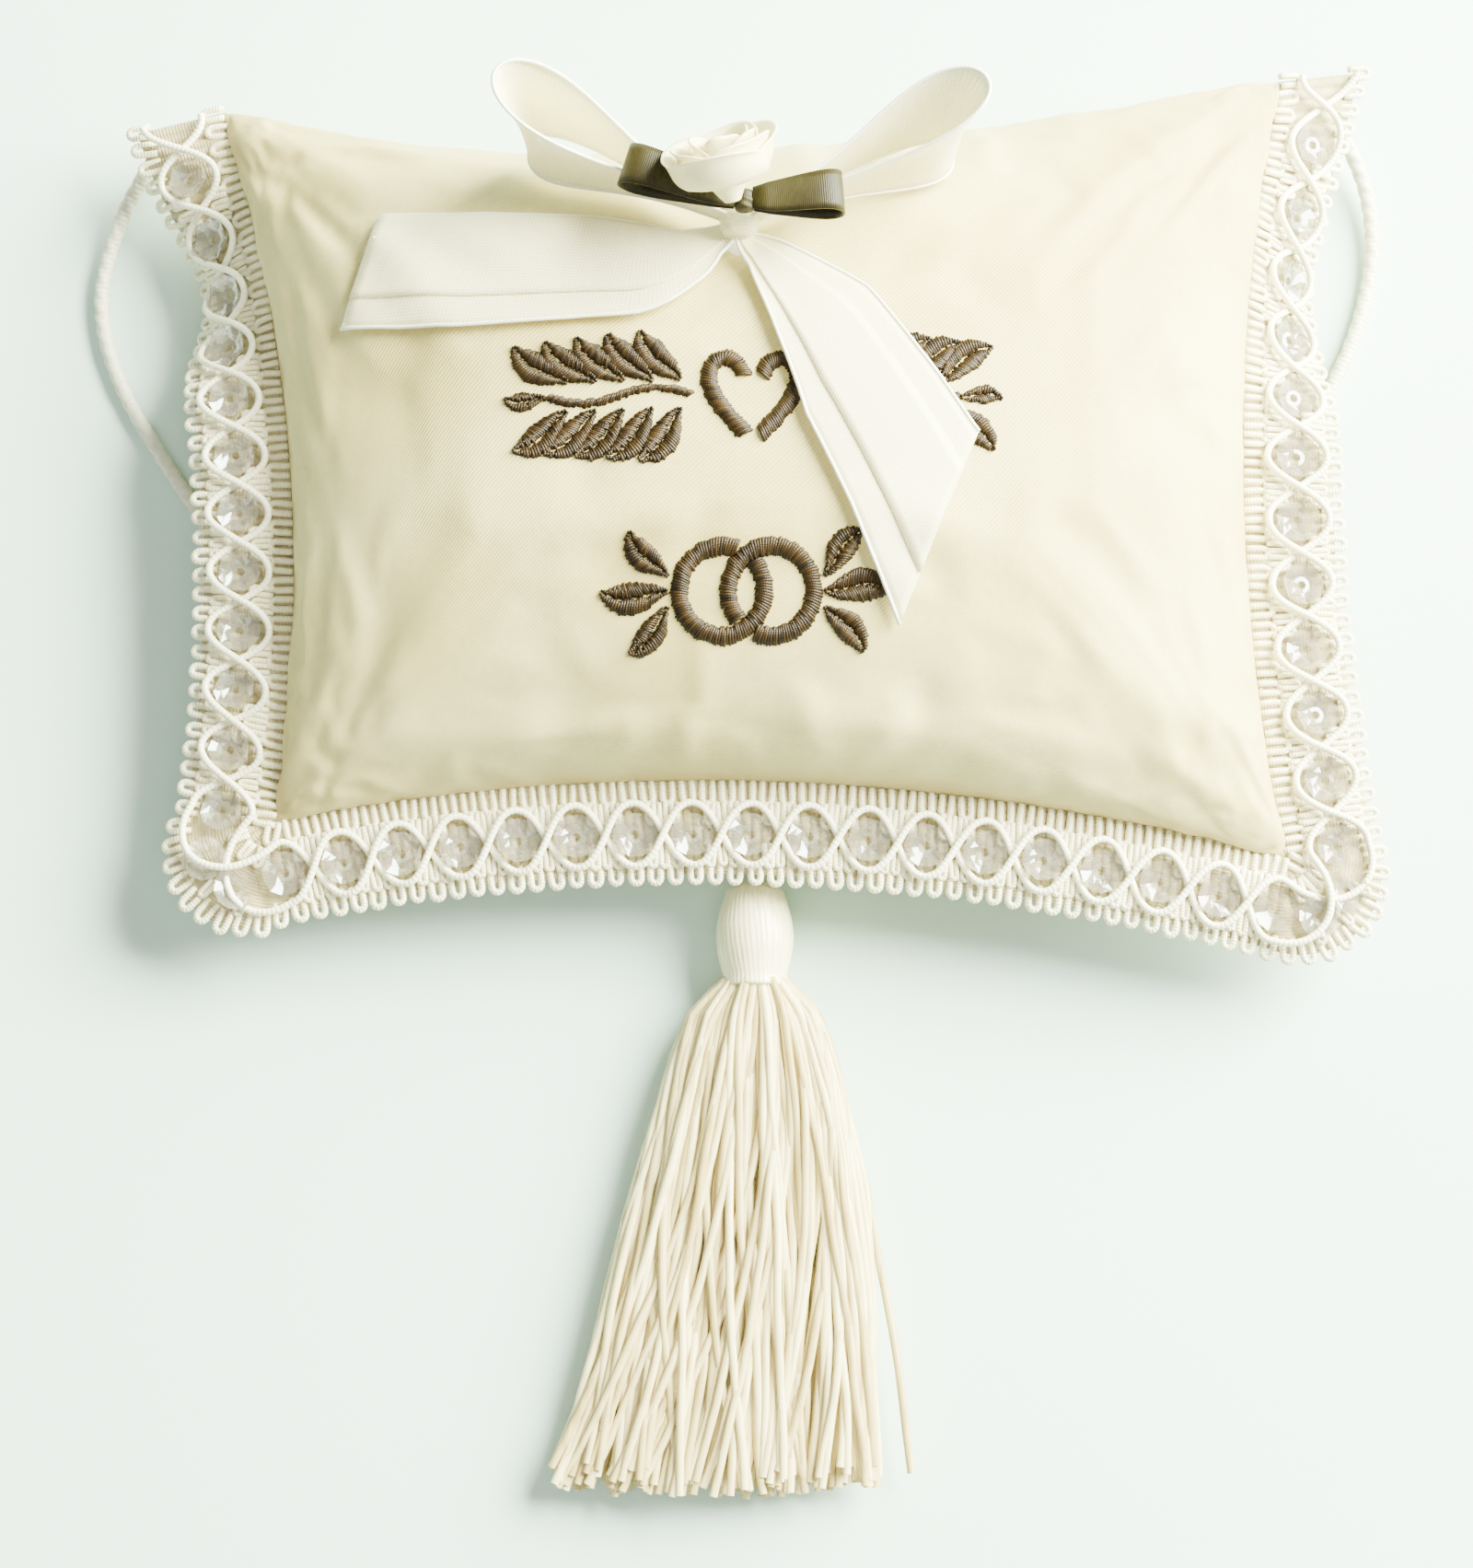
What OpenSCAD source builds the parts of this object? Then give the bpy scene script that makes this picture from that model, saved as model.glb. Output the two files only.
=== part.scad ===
// Ring bearer pillow: a small stuffed satin bag with a sequinned braid on three sides, a sheer ribbon bow
// tied with a narrow satin bow, a ribbon rose, a tassel and a hanging cord.
// It lies on its back. +X is to the right of the embroidered face, +Y towards the top seam and +Z out of
// the face. The origin is on the resting surface, under the middle of the bag. Millimetres.

/* [Pillow bag] */
// Width between the side seams, measured at the corners
bag_w = 155; // [125:1:190]
// Length between the top and bottom seams, measured at the corners
bag_l = 115; // [95:1:140]
// Height of the crown of the stuffed face
crown_h = 42; // [34:1:52]
// Height of the seam half way along a side
seam_h = 16.5; // [13.5:0.5:20]
// How much lower the seam lies at the corners
corner_drop = 2.5; // [0:0.5:3]
// How far the side seams draw in half way along
side_pinch = 6.2; // [2:0.2:9]
// How far the top seam draws in half way along
top_pinch = 10.5; // [3:0.5:13]
// How far the bottom seam draws in half way along
bottom_pinch = 8; // [3:0.5:12]
// Thickness of the satin
satin_t = 0.6; // [0.4:0.1:1]
// Thickness of the stabiliser behind the embroidery
backing_t = 0.4; // [0.3:0.1:0.8]

/* [Embroidery] */
// Length of the upper motif
garland_w = 69; // [56:1:74]
// Length of one leaf
leaf_l = 9.4; // [6:0.2:10]
// Width of one leaf
leaf_w = 4.4; // [2.5:0.1:4.8]
// Outer diameter of an interlaced ring
ring_d = 14.5; // [11:0.5:16]
// Width of the satin stitching in the rings and stems
stroke_w = 2.3; // [1.4:0.1:2.6]
// How far the stitching stands off the satin
stitch_t = 0.8; // [0.4:0.1:1]

/* [Braid] */
// Full width of the braid with its picots
braid_w = 14; // [12:0.5:17]
// Length of a picot on either edge
picot_l = 3.3; // [2:0.1:3.8]
// Thickness of the picots
picot_t = 1.1; // [0.6:0.1:1.6]
// Thickness of the woven tape
tape_t = 0.8; // [0.5:0.1:1.2]
// Diameter of the two scroll cords
scroll_d = 1.2; // [0.8:0.1:1.5]
// Distance between two crossings of the scroll cords
scroll_pitch = 9.1; // [8:0.1:11]
// Diameter of a sequin
sequin_d = 6.4; // [4:0.2:6.8]
// Tilt of the braid where it rolls over near the top of each side, in degrees
side_roll = 40; // [0:1:45]

/* [Bows] */
// Full width of the sheer ribbon
sheer_w = 21; // [15:0.5:23]
// Thickness of the sheer ribbon
sheer_t = 0.35; // [0.3:0.05:0.6]
// Length of the left sheer loop
loop_left_l = 34; // [28:1:42]
// Length of the right sheer loop
loop_right_l = 34; // [28:1:42]
// Widest opening of a sheer loop
loop_open = 8; // [6:0.5:12]
// Radius of the sheer knot
knot_r = 3; // [2.5:0.1:3.4]
// Width of the narrow satin ribbon
olive_w = 6.2; // [5:0.1:7]
// Length of the left narrow loop
olive_left_l = 18; // [11:0.5:19]
// Length of the right narrow loop
olive_right_l = 14; // [11:0.5:17]

/* [Rose] */
// Radius of the open rose
rose_r = 9.2; // [7:0.2:10]
// Height of the rose from its gathered end to its rim
rose_l = 9.4; // [8:0.2:12]

/* [Tassel] */
// Length of the wound head with its binding
head_l = 15.5; // [13:0.5:20]
// Largest radius of the head
head_r = 5.75; // [5:0.25:6]
// Length of the skirt
skirt_l = 75; // [50:1:90]
// Half of the skirt's width at its cut end
skirt_half_w = 23; // [14:1:26]

/* [Hanging cord] */
// Diameter of the hanging cord
cord_d = 2.4; // [2:0.1:2.8]

/* [Hidden] */

SATIN = [0.93, 0.90, 0.82];
BRAID = [0.95, 0.93, 0.86];
SHEER = [0.90, 0.88, 0.82];
OLIVE = [0.38, 0.33, 0.24];
THREAD = [0.42, 0.36, 0.28];
TASSEL = [0.93, 0.90, 0.80];

// Clearance between pieces that are sewn together and don't move
SEWN_GAP = 0.1;
// Clearance between pieces that move against each other
FREE_GAP = 0.35;
// Half of the gap between the two turned-in seam edges
SEAM_GAP = 0.02;
// How the corners are pulled out of a plain rectangle: bottom left, bottom right, top left, top right
CORNER_PULL = [[6.5, 5], [-0.5, -0.5], [-4, 0], [2, 5]];
// How much deeper the top seam draws in on the left than on the right
TOP_SKEW = 0.25;
GRID_U = 26;
GRID_V = 20;

// ---- General functions ----

function unit(a) = a / norm(a);
function mix(a, b, t) = a + (b - a) * t;
function bump(x, centre, reach) = pow(max(0, 1 - pow((x - centre) / reach, 2)), 2);
function left_of(t) = [-t[1], t[0]];
function polar(r, a) = r * [cos(a), sin(a)];

// Direction of a path of points at point i
function heading(path, i) = unit(path[min(i + 1, len(path) - 1)] - path[max(i - 1, 0)]);

// Smooth curve through hand-set points, with steps points for each stretch
function spline_point(a, b, c, d, t) =
    0.5 * (2 * b + (c - a) * t + (2 * a - 5 * b + 4 * c - d) * t * t
    + (3 * b - a - 3 * c + d) * t * t * t);
function smooth_path(points, steps) =
    let (last = len(points) - 1)
    [for (i = [0:last - 1]) for (k = [0:steps - (i == last - 1 ? 0 : 1)])
        spline_point(points[max(i - 1, 0)], points[i], points[i + 1],
            points[min(i + 2, last)], k / steps)];

// Closed solid through rings of points that run anticlockwise about the direction of travel
module skin(rings) {
    sides = len(rings[0]);
    last = len(rings) - 1;
    walls = [for (i = [0:last - 1]) for (j = [0:sides - 1])
        let (a = i * sides + j, b = i * sides + (j + 1) % sides, c = b + sides, d = a + sides)
        each [[a, d, c], [a, c, b]]];
    first_cap = [for (j = [1:sides - 2]) [0, j, j + 1]];
    last_cap = [for (j = [1:sides - 2]) [last * sides, last * sides + j + 1, last * sides + j]];
    polyhedron([for (r = rings) each r], concat(walls, first_cap, last_cap));
}

// Closed solid between two grids of points, top above bottom
module slab(top, bottom, nu, nv) {
    n = (nu + 1) * (nv + 1);
    function at(i, j) = i * (nv + 1) + j;
    lids = [for (i = [0:nu - 1]) for (j = [0:nv - 1])
        let (a = at(i, j), b = at(i + 1, j), c = at(i + 1, j + 1), d = at(i, j + 1))
        each [[a, c, b], [a, d, c], [a + n, b + n, c + n], [a + n, c + n, d + n]]];
    edge = concat([for (i = [0:nu - 1]) at(i, 0)], [for (j = [0:nv - 1]) at(nu, j)],
        [for (i = [nu:-1:1]) at(i, nv)], [for (j = [nv:-1:1]) at(0, j)]);
    walls = [for (k = [0:len(edge) - 1])
        let (a = edge[k], b = edge[(k + 1) % len(edge)])
        each [[a, b, b + n], [a, b + n, a + n]]];
    polyhedron(concat(top, bottom), concat(lids, walls));
}

function tube_ring(p, t, r, sides) =
    let (side = unit(cross(t, [0, 0, 1])), up = cross(t, side))
    [for (k = [0:sides - 1]) p + r * (cos(360 * k / sides) * side + sin(360 * k / sides) * up)];

module tube(path, d, sides) {
    skin([for (i = [0:len(path) - 1]) tube_ring(path[i], heading(path, i), d / 2, sides)]);
}

// ---- The bag's shape. u is -1 at the left seam and 1 at the right, v is -1 at the bottom, 1 at the top ----

function corner(i, inset) =
    [(i % 2 == 0 ? -1 : 1) * (bag_w / 2 - inset), (i < 2 ? -1 : 1) * (bag_l / 2 - inset)]
    + CORNER_PULL[i];
function bag_xy(u, v, inset = 0) =
    ((1 - u) * (1 - v) * corner(0, inset) + (1 + u) * (1 - v) * corner(1, inset)
    + (1 - u) * (1 + v) * corner(2, inset) + (1 + u) * (1 + v) * corner(3, inset)) / 4
    + [-u * side_pinch * (1 - v * v),
        (1 - u * u) * (bottom_pinch * (1 - v) - top_pinch * (1 - TOP_SKEW * u) * (1 + v)) / 2];
function seam_z(u, v) = seam_h - corner_drop * u * u * v * v;
// 1 over the crown and 0 at the seams: a broad top that falls steeply to its edges
function puff(u, v) = pow(max(0, (1 - u * u) * (1 - v * v)), 0.42);
function face_z(u, v, inset = 0) = seam_z(u, v) + (crown_h - seam_h - inset) * puff(u, v);
// The underside would hang this far below the seam; the surface it rests on flattens it
hang_h = 1.6 * seam_h;
function back_z(u, v, inset = 0) = max(inset, seam_z(u, v) - (hang_h - inset) * puff(u, v));

function spaced(n) = [for (i = [0:n]) sin(90 * (2 * i / n - 1))];
function face_grid(us, vs, inset, lift = 0) =
    [for (u = us) for (v = vs) concat(bag_xy(u, v, inset), face_z(u, v, inset) + lift)];
function back_grid(us, vs, inset, lift = 0) =
    [for (u = us) for (v = vs) concat(bag_xy(u, v, inset), back_z(u, v, inset) + lift)];

// The u and v of a point of the plan, and the height of the face there
function uv_at(p, uv = [0, 0], rounds = 6) =
    rounds == 0 ? [for (w = uv) min(0.995, max(-0.995, w))]
    : let (miss = p - bag_xy(uv[0], uv[1]))
        uv_at(p, uv + [miss[0] * 2 / bag_w, miss[1] * 2 / bag_l], rounds - 1);
function face_height(p) = let (uv = uv_at(p)) face_z(uv[0], uv[1]);

module front_panel() {
    color(SATIN)
        slab(face_grid(spaced(GRID_U), spaced(GRID_V), 0, SEAM_GAP),
            face_grid(spaced(GRID_U), spaced(GRID_V), satin_t, SEAM_GAP), GRID_U, GRID_V);
}

module back_panel() {
    // The seam edge sits just below the front panel's, and the flat part lies on the surface
    function lowered(points) = [for (p = points) [p[0], p[1], max(0, p[2] - SEAM_GAP)]];
    color(SATIN)
        slab(back_grid(spaced(GRID_U), spaced(GRID_V), satin_t),
            lowered(back_grid(spaced(GRID_U), spaced(GRID_V), 0)), GRID_U, GRID_V);
}

// The stuffing keeps clear of the satin, the backing and the seam allowance
fill_inset = satin_t + backing_t + 4 * SEWN_GAP;
fill_edge_h = 1;
module fibre_fill() {
    color([0.97, 0.97, 0.95])
        slab(face_grid(spaced(GRID_U), spaced(GRID_V), fill_inset + 1, fill_edge_h / 2),
            back_grid(spaced(GRID_U), spaced(GRID_V), fill_inset + 1, -fill_edge_h / 2), GRID_U, GRID_V);
}

// The stabiliser lies under the motifs, between the face and the stuffing
module embroidery_backing() {
    us = [for (i = [0:16]) 0.56 * (i / 8 - 1)];
    vs = [for (j = [0:12]) mix(-0.72, 0.42, j / 12)];
    color([0.9, 0.9, 0.88])
        slab(face_grid(us, vs, satin_t + 2 * SEWN_GAP),
            face_grid(us, vs, satin_t + 2 * SEWN_GAP + backing_t),
            16, 12);
}

// ---- Embroidery: bands of satin stitch that lie on the face ----

// A band of the given widths along a path of plan points, lift above the face and t thick
module face_band(path, widths, lift, t, across = 3) {
    ks = [for (k = [0:across - 1]) k / (across - 1) - 0.5];
    rings = [for (i = [0:len(path) - 1])
        let (side = left_of(heading(path, i)), spots = [for (k = ks) path[i] + side * k * widths[i]],
            low = [for (p = spots) concat(p, face_height(p) + lift)])
        concat(low, [for (j = [across - 1:-1:0]) low[j] + [0, 0, t]])];
    skin(rings);
}

module stitched_band(path, widths) {
    face_band(path, widths, SEWN_GAP, stitch_t);
}

// A pointed leaf that starts at p and grows at angle a
module leaf(p, a, scale = 1) {
    steps = 6;
    path = [for (i = [0:steps]) p + polar(leaf_l * scale * i / steps, a + 10 * sin(180 * i / steps))];
    widths = [for (i = [0:steps]) leaf_w * scale * (0.12 + 0.88 * pow(sin(180 * i / steps), 0.8))];
    stitched_band(path, widths);
}

// One half of a heart centred on p; side is -1 for the left half and 1 for the right
module half_heart(p, size, side) {
    outline = [[0.1, 0.2], [0.16, 0.32], [0.3, 0.38], [0.42, 0.3], [0.45, 0.12], [0.34, -0.12],
        [0.16, -0.34], [0.08, -0.42]];
    path = [for (q = side > 0 ? outline : [for (i = [len(outline) - 1:-1:0]) outline[i]])
        p + size * [side * q[0], q[1]]];
    stitched_band(path, [for (q = path) size * 0.16]);
}

module arc_band(centre, r, from, to, w) {
    steps = max(4, ceil((to - from) / 24));
    path = [for (i = [0:steps]) centre + polar(r, mix(from, to, i / steps))];
    stitched_band(path, [for (q = path) w]);
}

upper_centre = [-1, 4.2];
lower_centre = [-2, -24];

// A heart between two leafy branches
module embroidery_upper() {
    leaves = 5;
    stem_from = 9;
    stem_to = garland_w / 2 - leaf_l * 0.55;
    color(THREAD) {
        for (side = [-1, 1]) half_heart(upper_centre, 14, side);
        for (side = [-1, 1]) {
            stem = [for (i = [0:8]) upper_centre
                + [side * mix(stem_from, stem_to, i / 8), 1.1 * sin(360 * i / 8)]];
            stitched_band(stem, [for (p = stem) stroke_w * 0.45]);
            for (i = [0:leaves - 1])
                for (way = [-1, 1]) {
                    x = mix(stem_from, stem_to, (i + 0.35) / leaves);
                    lean = 52 - 4 * i;
                    root = upper_centre + [side * x, way * (1.1 + stroke_w * 0.45)];
                    leaf(root, side > 0 ? way * lean : 180 - way * lean);
                }
            leaf(upper_centre + [side * (stem_to + 0.6), 0], side > 0 ? 0 : 180, 0.6);
        }
    }
}

// Two interlaced rings between two pairs of leaves. Each ring stops short where it goes under the other
module embroidery_lower() {
    r = (ring_d - stroke_w) / 2;
    apart = r * 1.15;
    cross_a = acos(apart / 2 / r);
    under = (stroke_w / 2 + 2 * SEWN_GAP) / r * 57.3 * 1.2;
    left_c = lower_centre - [apart / 2, 0];
    right_c = lower_centre + [apart / 2, 0];
    color(THREAD) {
        arc_band(left_c, r, cross_a + under, 360 + cross_a - under, stroke_w);
        arc_band(right_c, r, 180 - 360 + cross_a + under, 180 + cross_a - under, stroke_w);
        for (side = [-1, 1]) {
            x = apart / 2 + r + stroke_w / 2 + 0.5;
            leaf(lower_centre + [side * x, 0], side > 0 ? 0 : 180);
            for (way = [-1, 1])
                leaf(lower_centre + [side * x, way * 2.2], side > 0 ? way * 48 : 180 - way * 48, 0.85);
        }
    }
}

// ---- Braid: q counts the ovals between the scroll cords, down the left, along the bottom, up the right ----

side_ovals = round((bag_l - 2) / scroll_pitch);
bottom_ovals = round((bag_w - 2) / scroll_pitch);
corner_ovals = 1;
braid_ovals = 2 * side_ovals + bottom_ovals + 2 * corner_ovals;
braid_in = 0.8;
braid_out = braid_in + braid_w;
braid_mid = (braid_in + braid_out) / 2;
corner_flare = 0.22;

// Seam point, outward angle, tilt and flare of the braid at q
function braid_station(q) =
    q <= side_ovals ? let (v = 1 - 2 * q / side_ovals)
        [[-1, v], 180 + 12 * v, 6 + side_roll * bump(v, 0.55, 0.42), 0]
    : q <= side_ovals + corner_ovals ? let (f = (q - side_ovals) / corner_ovals)
        [[-1, -1], mix(168, 282, f), 6, corner_flare * 1.3 * sin(180 * f)]
    : q <= side_ovals + corner_ovals + bottom_ovals
        ? let (u = 2 * (q - side_ovals - corner_ovals) / bottom_ovals - 1)
        [[u, -1], 270 - 12 * u, 6, 0]
    : q <= side_ovals + 2 * corner_ovals + bottom_ovals
        ? let (f = (q - side_ovals - corner_ovals - bottom_ovals) / corner_ovals)
        [[1, -1], mix(258, 372, f), 6, corner_flare * 0.5 * sin(180 * f)]
    : let (v = 2 * (q - side_ovals - 2 * corner_ovals - bottom_ovals) / side_ovals - 1)
        [[1, v], 360 - 12 * v + 24 * bump(v, 1, 0.4), 6 + side_roll * bump(v, 0.55, 0.6), 0];

// A point of the braid: r outward from the seam and h above the braid's upper surface
function braid_point(q, r, h) =
    let (s = braid_station(q), uv = s[0], a = s[1], tilt = s[2], reach = r * (1 + s[3]))
    concat(bag_xy(uv[0], uv[1]), seam_z(uv[0], uv[1]))
    + reach * [cos(tilt) * cos(a), cos(tilt) * sin(a), -sin(tilt)]
    + h * [sin(tilt) * cos(a), sin(tilt) * sin(a), cos(tilt)];

// A strip of the braid between two distances from the seam and two heights
module braid_strip(r0, r1, h0, h1, per_oval = 3) {
    skin([for (i = [0:braid_ovals * per_oval])
        let (q = i / per_oval)
        [braid_point(q, r1, h0), braid_point(q, r0, h0), braid_point(q, r0, h1),
            braid_point(q, r1, h1)]]);
}

module braid_tape() {
    color(BRAID * 0.9) braid_strip(braid_in + picot_l + SEWN_GAP,
        braid_out - picot_l - SEWN_GAP, -tape_t, 0);
}

module braid_inner_picots() {
    color(BRAID)
        braid_strip(braid_in, braid_in + picot_l, -(tape_t + picot_t) / 2, (picot_t - tape_t) / 2);
}

module braid_outer_picots() {
    color(BRAID)
        braid_strip(braid_out - picot_l, braid_out, -(tape_t + picot_t) / 2, (picot_t - tape_t) / 2);
}

sequin_t = 0.5;
sequin_lift = 1.3 * braid_w / 14;
scroll_swing = braid_w / 2 - 2 * scroll_d;
scroll_h = sequin_lift + sequin_t + 6 * SEWN_GAP + scroll_d / 2;

// The two cords swing across the tape in opposite ways and pass over each other in turn
module scroll_cord(way) {
    per_oval = 4;
    path = [for (i = [0:braid_ovals * per_oval])
        let (q = i / per_oval)
        braid_point(q, braid_mid + way * scroll_swing * cos(180 * q),
            scroll_h + scroll_d * 0.56 * (1 + way * sin(180 * q)))];
    color(BRAID) tube(path, scroll_d, 6);
}

module scroll_cord_a() {
    scroll_cord(1);
}

module scroll_cord_b() {
    scroll_cord(-1);
}

module braid_sequins() {
    color([0.93, 0.95, 0.97])
        for (q = [1:braid_ovals - 1]) {
            s = braid_station(q);
            translate(braid_point(q, braid_mid, sequin_lift)) rotate([0, s[2], s[1]])
                difference() {
                    cylinder(d = sequin_d, h = sequin_t, $fn = 32);
                    translate([0, 0, -1]) cylinder(d = 1.2, h = sequin_t + 2, $fn = 24);
                }
        }
}

// Short stitches that hold the braid's inner picots to the seam
module braid_stitches() {
    color(BRAID)
        for (q = [0.5:1:braid_ovals - 0.5]) {
            s = braid_station(q);
            translate(braid_point(q, 3 * SEWN_GAP, -tape_t / 2)) rotate([0, 90 + s[2], s[1]])
                cylinder(d = 0.5, h = braid_in - 4 * SEWN_GAP, $fn = 16);
        }
}

// Slip stitches that close the top seam, which has no braid
module top_seam_stitches() {
    stitches = 24;
    color(SATIN * 0.95)
        for (i = [0:stitches - 1]) {
            u = 0.92 * (2 * (i + 0.5) / stitches - 1);
            spot = bag_xy(u, 1);
            slope = bag_xy(u + 0.01, 1) - bag_xy(u - 0.01, 1);
            translate(concat(spot + left_of(unit(slope)) * (0.25 + SEWN_GAP), seam_z(u, 1)))
                rotate([90, 0, atan2(slope[1], slope[0]) + 90])
                    translate([0, 0, -1.2]) cylinder(d = 0.5, h = 2.4, $fn = 16);
        }
}

// ---- Sheer bow ----

knot_xy = [-3, 30.5];
tack_l = 0.8;
knot_z = face_height(knot_xy) + tack_l + knot_r;
knot_l = 5.2;
knot_at = concat(knot_xy, knot_z);

// Thread that holds the bow to the face
module bow_tack_thread() {
    foot = face_height(knot_xy) + 0.05;
    color(SATIN) translate(concat(knot_xy, foot))
        cylinder(d = 1, h = knot_z - knot_r - foot - 0.05, $fn = 24);
}

// A wrapped knot: a barrel along Y
module barrel(r, l) {
    rotate([90, 0, 0]) rotate_extrude($fn = 48)
        polygon(concat([[0, -l / 2]],
            [for (i = [-4:4]) [r * (1 - 0.3 * pow(i / 4, 2)), l / 2 * i / 4]], [[0, l / 2]]));
}

module sheer_bow_knot() {
    color(SHEER) translate(knot_at) barrel(knot_r, knot_l);
}

loop_clear = 1.6;
loop_floor = 33;
// A standing loop of ribbon that leaves the knot at angle a, runs out to length l and comes back
module sheer_loop(a, l) {
    steps = 22;
    out = polar(1, a);
    side = left_of(out);
    start = knot_r + FREE_GAP;
    path = [for (i = [0:steps])
        let (f = i / steps, d = start + (l - start) * pow(sin(180 * f), 0.8),
            across = loop_open / 1.54 * sin(360 * f) * sin(180 * f) + 0.7 * cos(180 * f))
        knot_xy + out * d + side * across];
    rings = [for (i = [0:steps])
        let (p = path[i], n = left_of(heading(path, i)) * sheer_t / 2,
            grow = pow(sin(180 * i / steps), 0.7), w = mix(3.4, sheer_w, pow(grow, 1.9)),
            low = max(face_height(p) + loop_clear, mix(knot_z - 1, loop_floor, grow)),
            lean = out * 0.24 * w * pow(sin(180 * i / steps), 3))
        [concat(p - n, low), concat(p + n, low), concat(p + n + lean, low + w),
            concat(p - n + lean, low + w)]];
    color(SHEER) skin(rings);
}

module sheer_bow_loop_left() {
    sheer_loop(153, loop_left_l);
}

module sheer_bow_loop_right() {
    sheer_loop(25, loop_right_l);
}

// A tail of the ribbon that lies over the face. slant is how far its left edge runs past its middle
module sheer_tail(route, half_widths, slant) {
    path = smooth_path(route, 4);
    last = len(path) - 1;
    across = 6;
    stretch = (len(half_widths) - 1) / last;
    rings = [for (i = [0:last])
        let (t = heading(path, i), side = left_of(t), s = i / last,
            k = min(floor(i * stretch), len(half_widths) - 2),
            half = mix(half_widths[k], half_widths[k + 1], i * stretch - k) * sheer_w / 21,
            lift = SEWN_GAP + stitch_t + 0.5 + 0.8 * pow(1 - s, 2),
            low = [for (j = [0:across - 1])
                let (f = 2 * j / (across - 1) - 1, p = path[i] + side * f * half + t * slant * f * s)
                concat(p, face_height(p) + lift)])
        concat(low, [for (j = [across - 1:-1:0]) low[j] + [0, 0, sheer_t]])];
    color(SHEER) skin(rings);
}

TAIL_LEFT_ROUTE = [[-6.8, 28.5], [-11, 25.2], [-17, 23.7], [-26, 24.2], [-42, 24.7], [-58.5, 25.8]];
TAIL_LEFT_HALF = [2, 5, 7.2, 8.4, 9.3, 8.8];
TAIL_RIGHT_ROUTE = [[-1, 26.6], [4.5, 19.5], [11, 10.5], [18, -1], [25.5, -15]];
TAIL_RIGHT_HALF = [2, 5.5, 9, 10, 11.5];

module sheer_tail_left() {
    sheer_tail(TAIL_LEFT_ROUTE, TAIL_LEFT_HALF, 2);
}

module sheer_tail_right() {
    sheer_tail(TAIL_RIGHT_ROUTE, TAIL_RIGHT_HALF, -9.5);
}

// ---- Narrow satin bow ----

olive_knot_r = 1.7;
olive_at = [-2.2, 31.2, knot_z + knot_r + 4 * FREE_GAP + olive_knot_r];

module olive_bow_knot() {
    color(OLIVE) translate(olive_at) barrel(olive_knot_r, 3.4);
}

// A flattened loop that runs out at angle a and comes back underneath itself
module olive_loop(a, l) {
    steps = 16;
    t = 0.45;
    out = polar(1, a);
    side = left_of(out);
    start = olive_knot_r + 2 * SEWN_GAP;
    path = [for (i = [0:steps])
        let (f = i / steps)
        [start + (l - start) * pow(sin(180 * f), 0.7),
            2.1 * sin(360 * f) * pow(sin(180 * f), 0.3) + 0.5 * cos(180 * f) + 0.4]];
    rings = [for (i = [0:steps])
        let (n = left_of(heading(path, i)) * t / 2, grow = pow(sin(180 * i / steps), 0.4),
            half = mix(1.6, olive_w / 2, grow), inner = path[i] + n, outer = path[i] - n)
        [for (c = [[outer, -half], [outer, half], [inner, half], [inner, -half]])
            olive_at + concat(out * c[0][0] + side * c[1], c[0][1])]];
    color(OLIVE) skin([for (i = [steps:-1:0]) rings[i]]);
}

module olive_bow_loop_left() {
    olive_loop(163, olive_left_l);
}

module olive_bow_loop_right() {
    olive_loop(4, olive_right_l);
}

// ---- Rose: cups of folded ribbon on a gathered stem, leaning towards the top seam ----

rose_at = [-3.9, 29.8, knot_z + 10];
rose_turn = [-59, 0, 17];
stem_l = rose_l * 0.3;

module rose_place() {
    translate(rose_at) rotate(rose_turn) children();
}

module rose_base() {
    color(SATIN) rose_place() cylinder(r1 = 1.2, r2 = rose_r * 0.32, h = stem_l, $fn = 48);
}

// One cup of ribbon, open at both ends, with its rim rolled outward
module petal_cup(r_low, r_top, z_low, z_top) {
    t = 0.5;
    outside = [for (i = [0:8]) let (f = i / 8)
        [mix(r_low, r_top, pow(f, 0.62)) + 0.5 * pow(f, 6), mix(z_low, z_top, f)]];
    rotate_extrude($fn = 64)
        polygon(concat(outside, [for (i = [8:-1:0]) outside[i] - [t, 0]]));
}

module rose_petals() {
    low = stem_l + SEWN_GAP;
    color(SATIN) rose_place() {
        petal_cup(rose_r * 0.32, rose_r - 0.5, low, rose_l);
        petal_cup(rose_r * 0.25, rose_r * 0.72, low, rose_l * 0.96);
        petal_cup(rose_r * 0.18, rose_r * 0.48, low, rose_l * 0.93);
    }
}

module rose_centre() {
    color(SATIN) rose_place() translate([0, 0, stem_l + SEWN_GAP])
        cylinder(r1 = rose_r * 0.08, r2 = rose_r * 0.18, h = rose_l * 0.6, $fn = 32);
}

// ---- Tassel: it lies on the resting surface and pulls away from under the bottom braid ----

tassel_x = -0.7;
axis_z = head_r + 0.45;
seam_y = bag_xy(0, -1)[1];
anchor_r = 0.9;
anchor_y = seam_y - braid_w * 0.66;
loop_r = 1.9;
loop_wire = 0.65;
loop_z = axis_z + 2;
// Axis of the lift: the front of the thread loop
lift_y = anchor_y - loop_r - loop_wire + 0.15;
head_y = lift_y - 1.5;

// Thread bar sewn under the braid
module tassel_anchor() {
    top = braid_point(side_ovals + corner_ovals + bottom_ovals / 2, braid_w * 0.66,
        -(tape_t + picot_t) / 2)[2];
    color(TASSEL) translate([tassel_x, anchor_y, loop_z - 0.3])
        cylinder(r = anchor_r, h = top - 0.3 - loop_z, $fn = 32);
}

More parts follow.
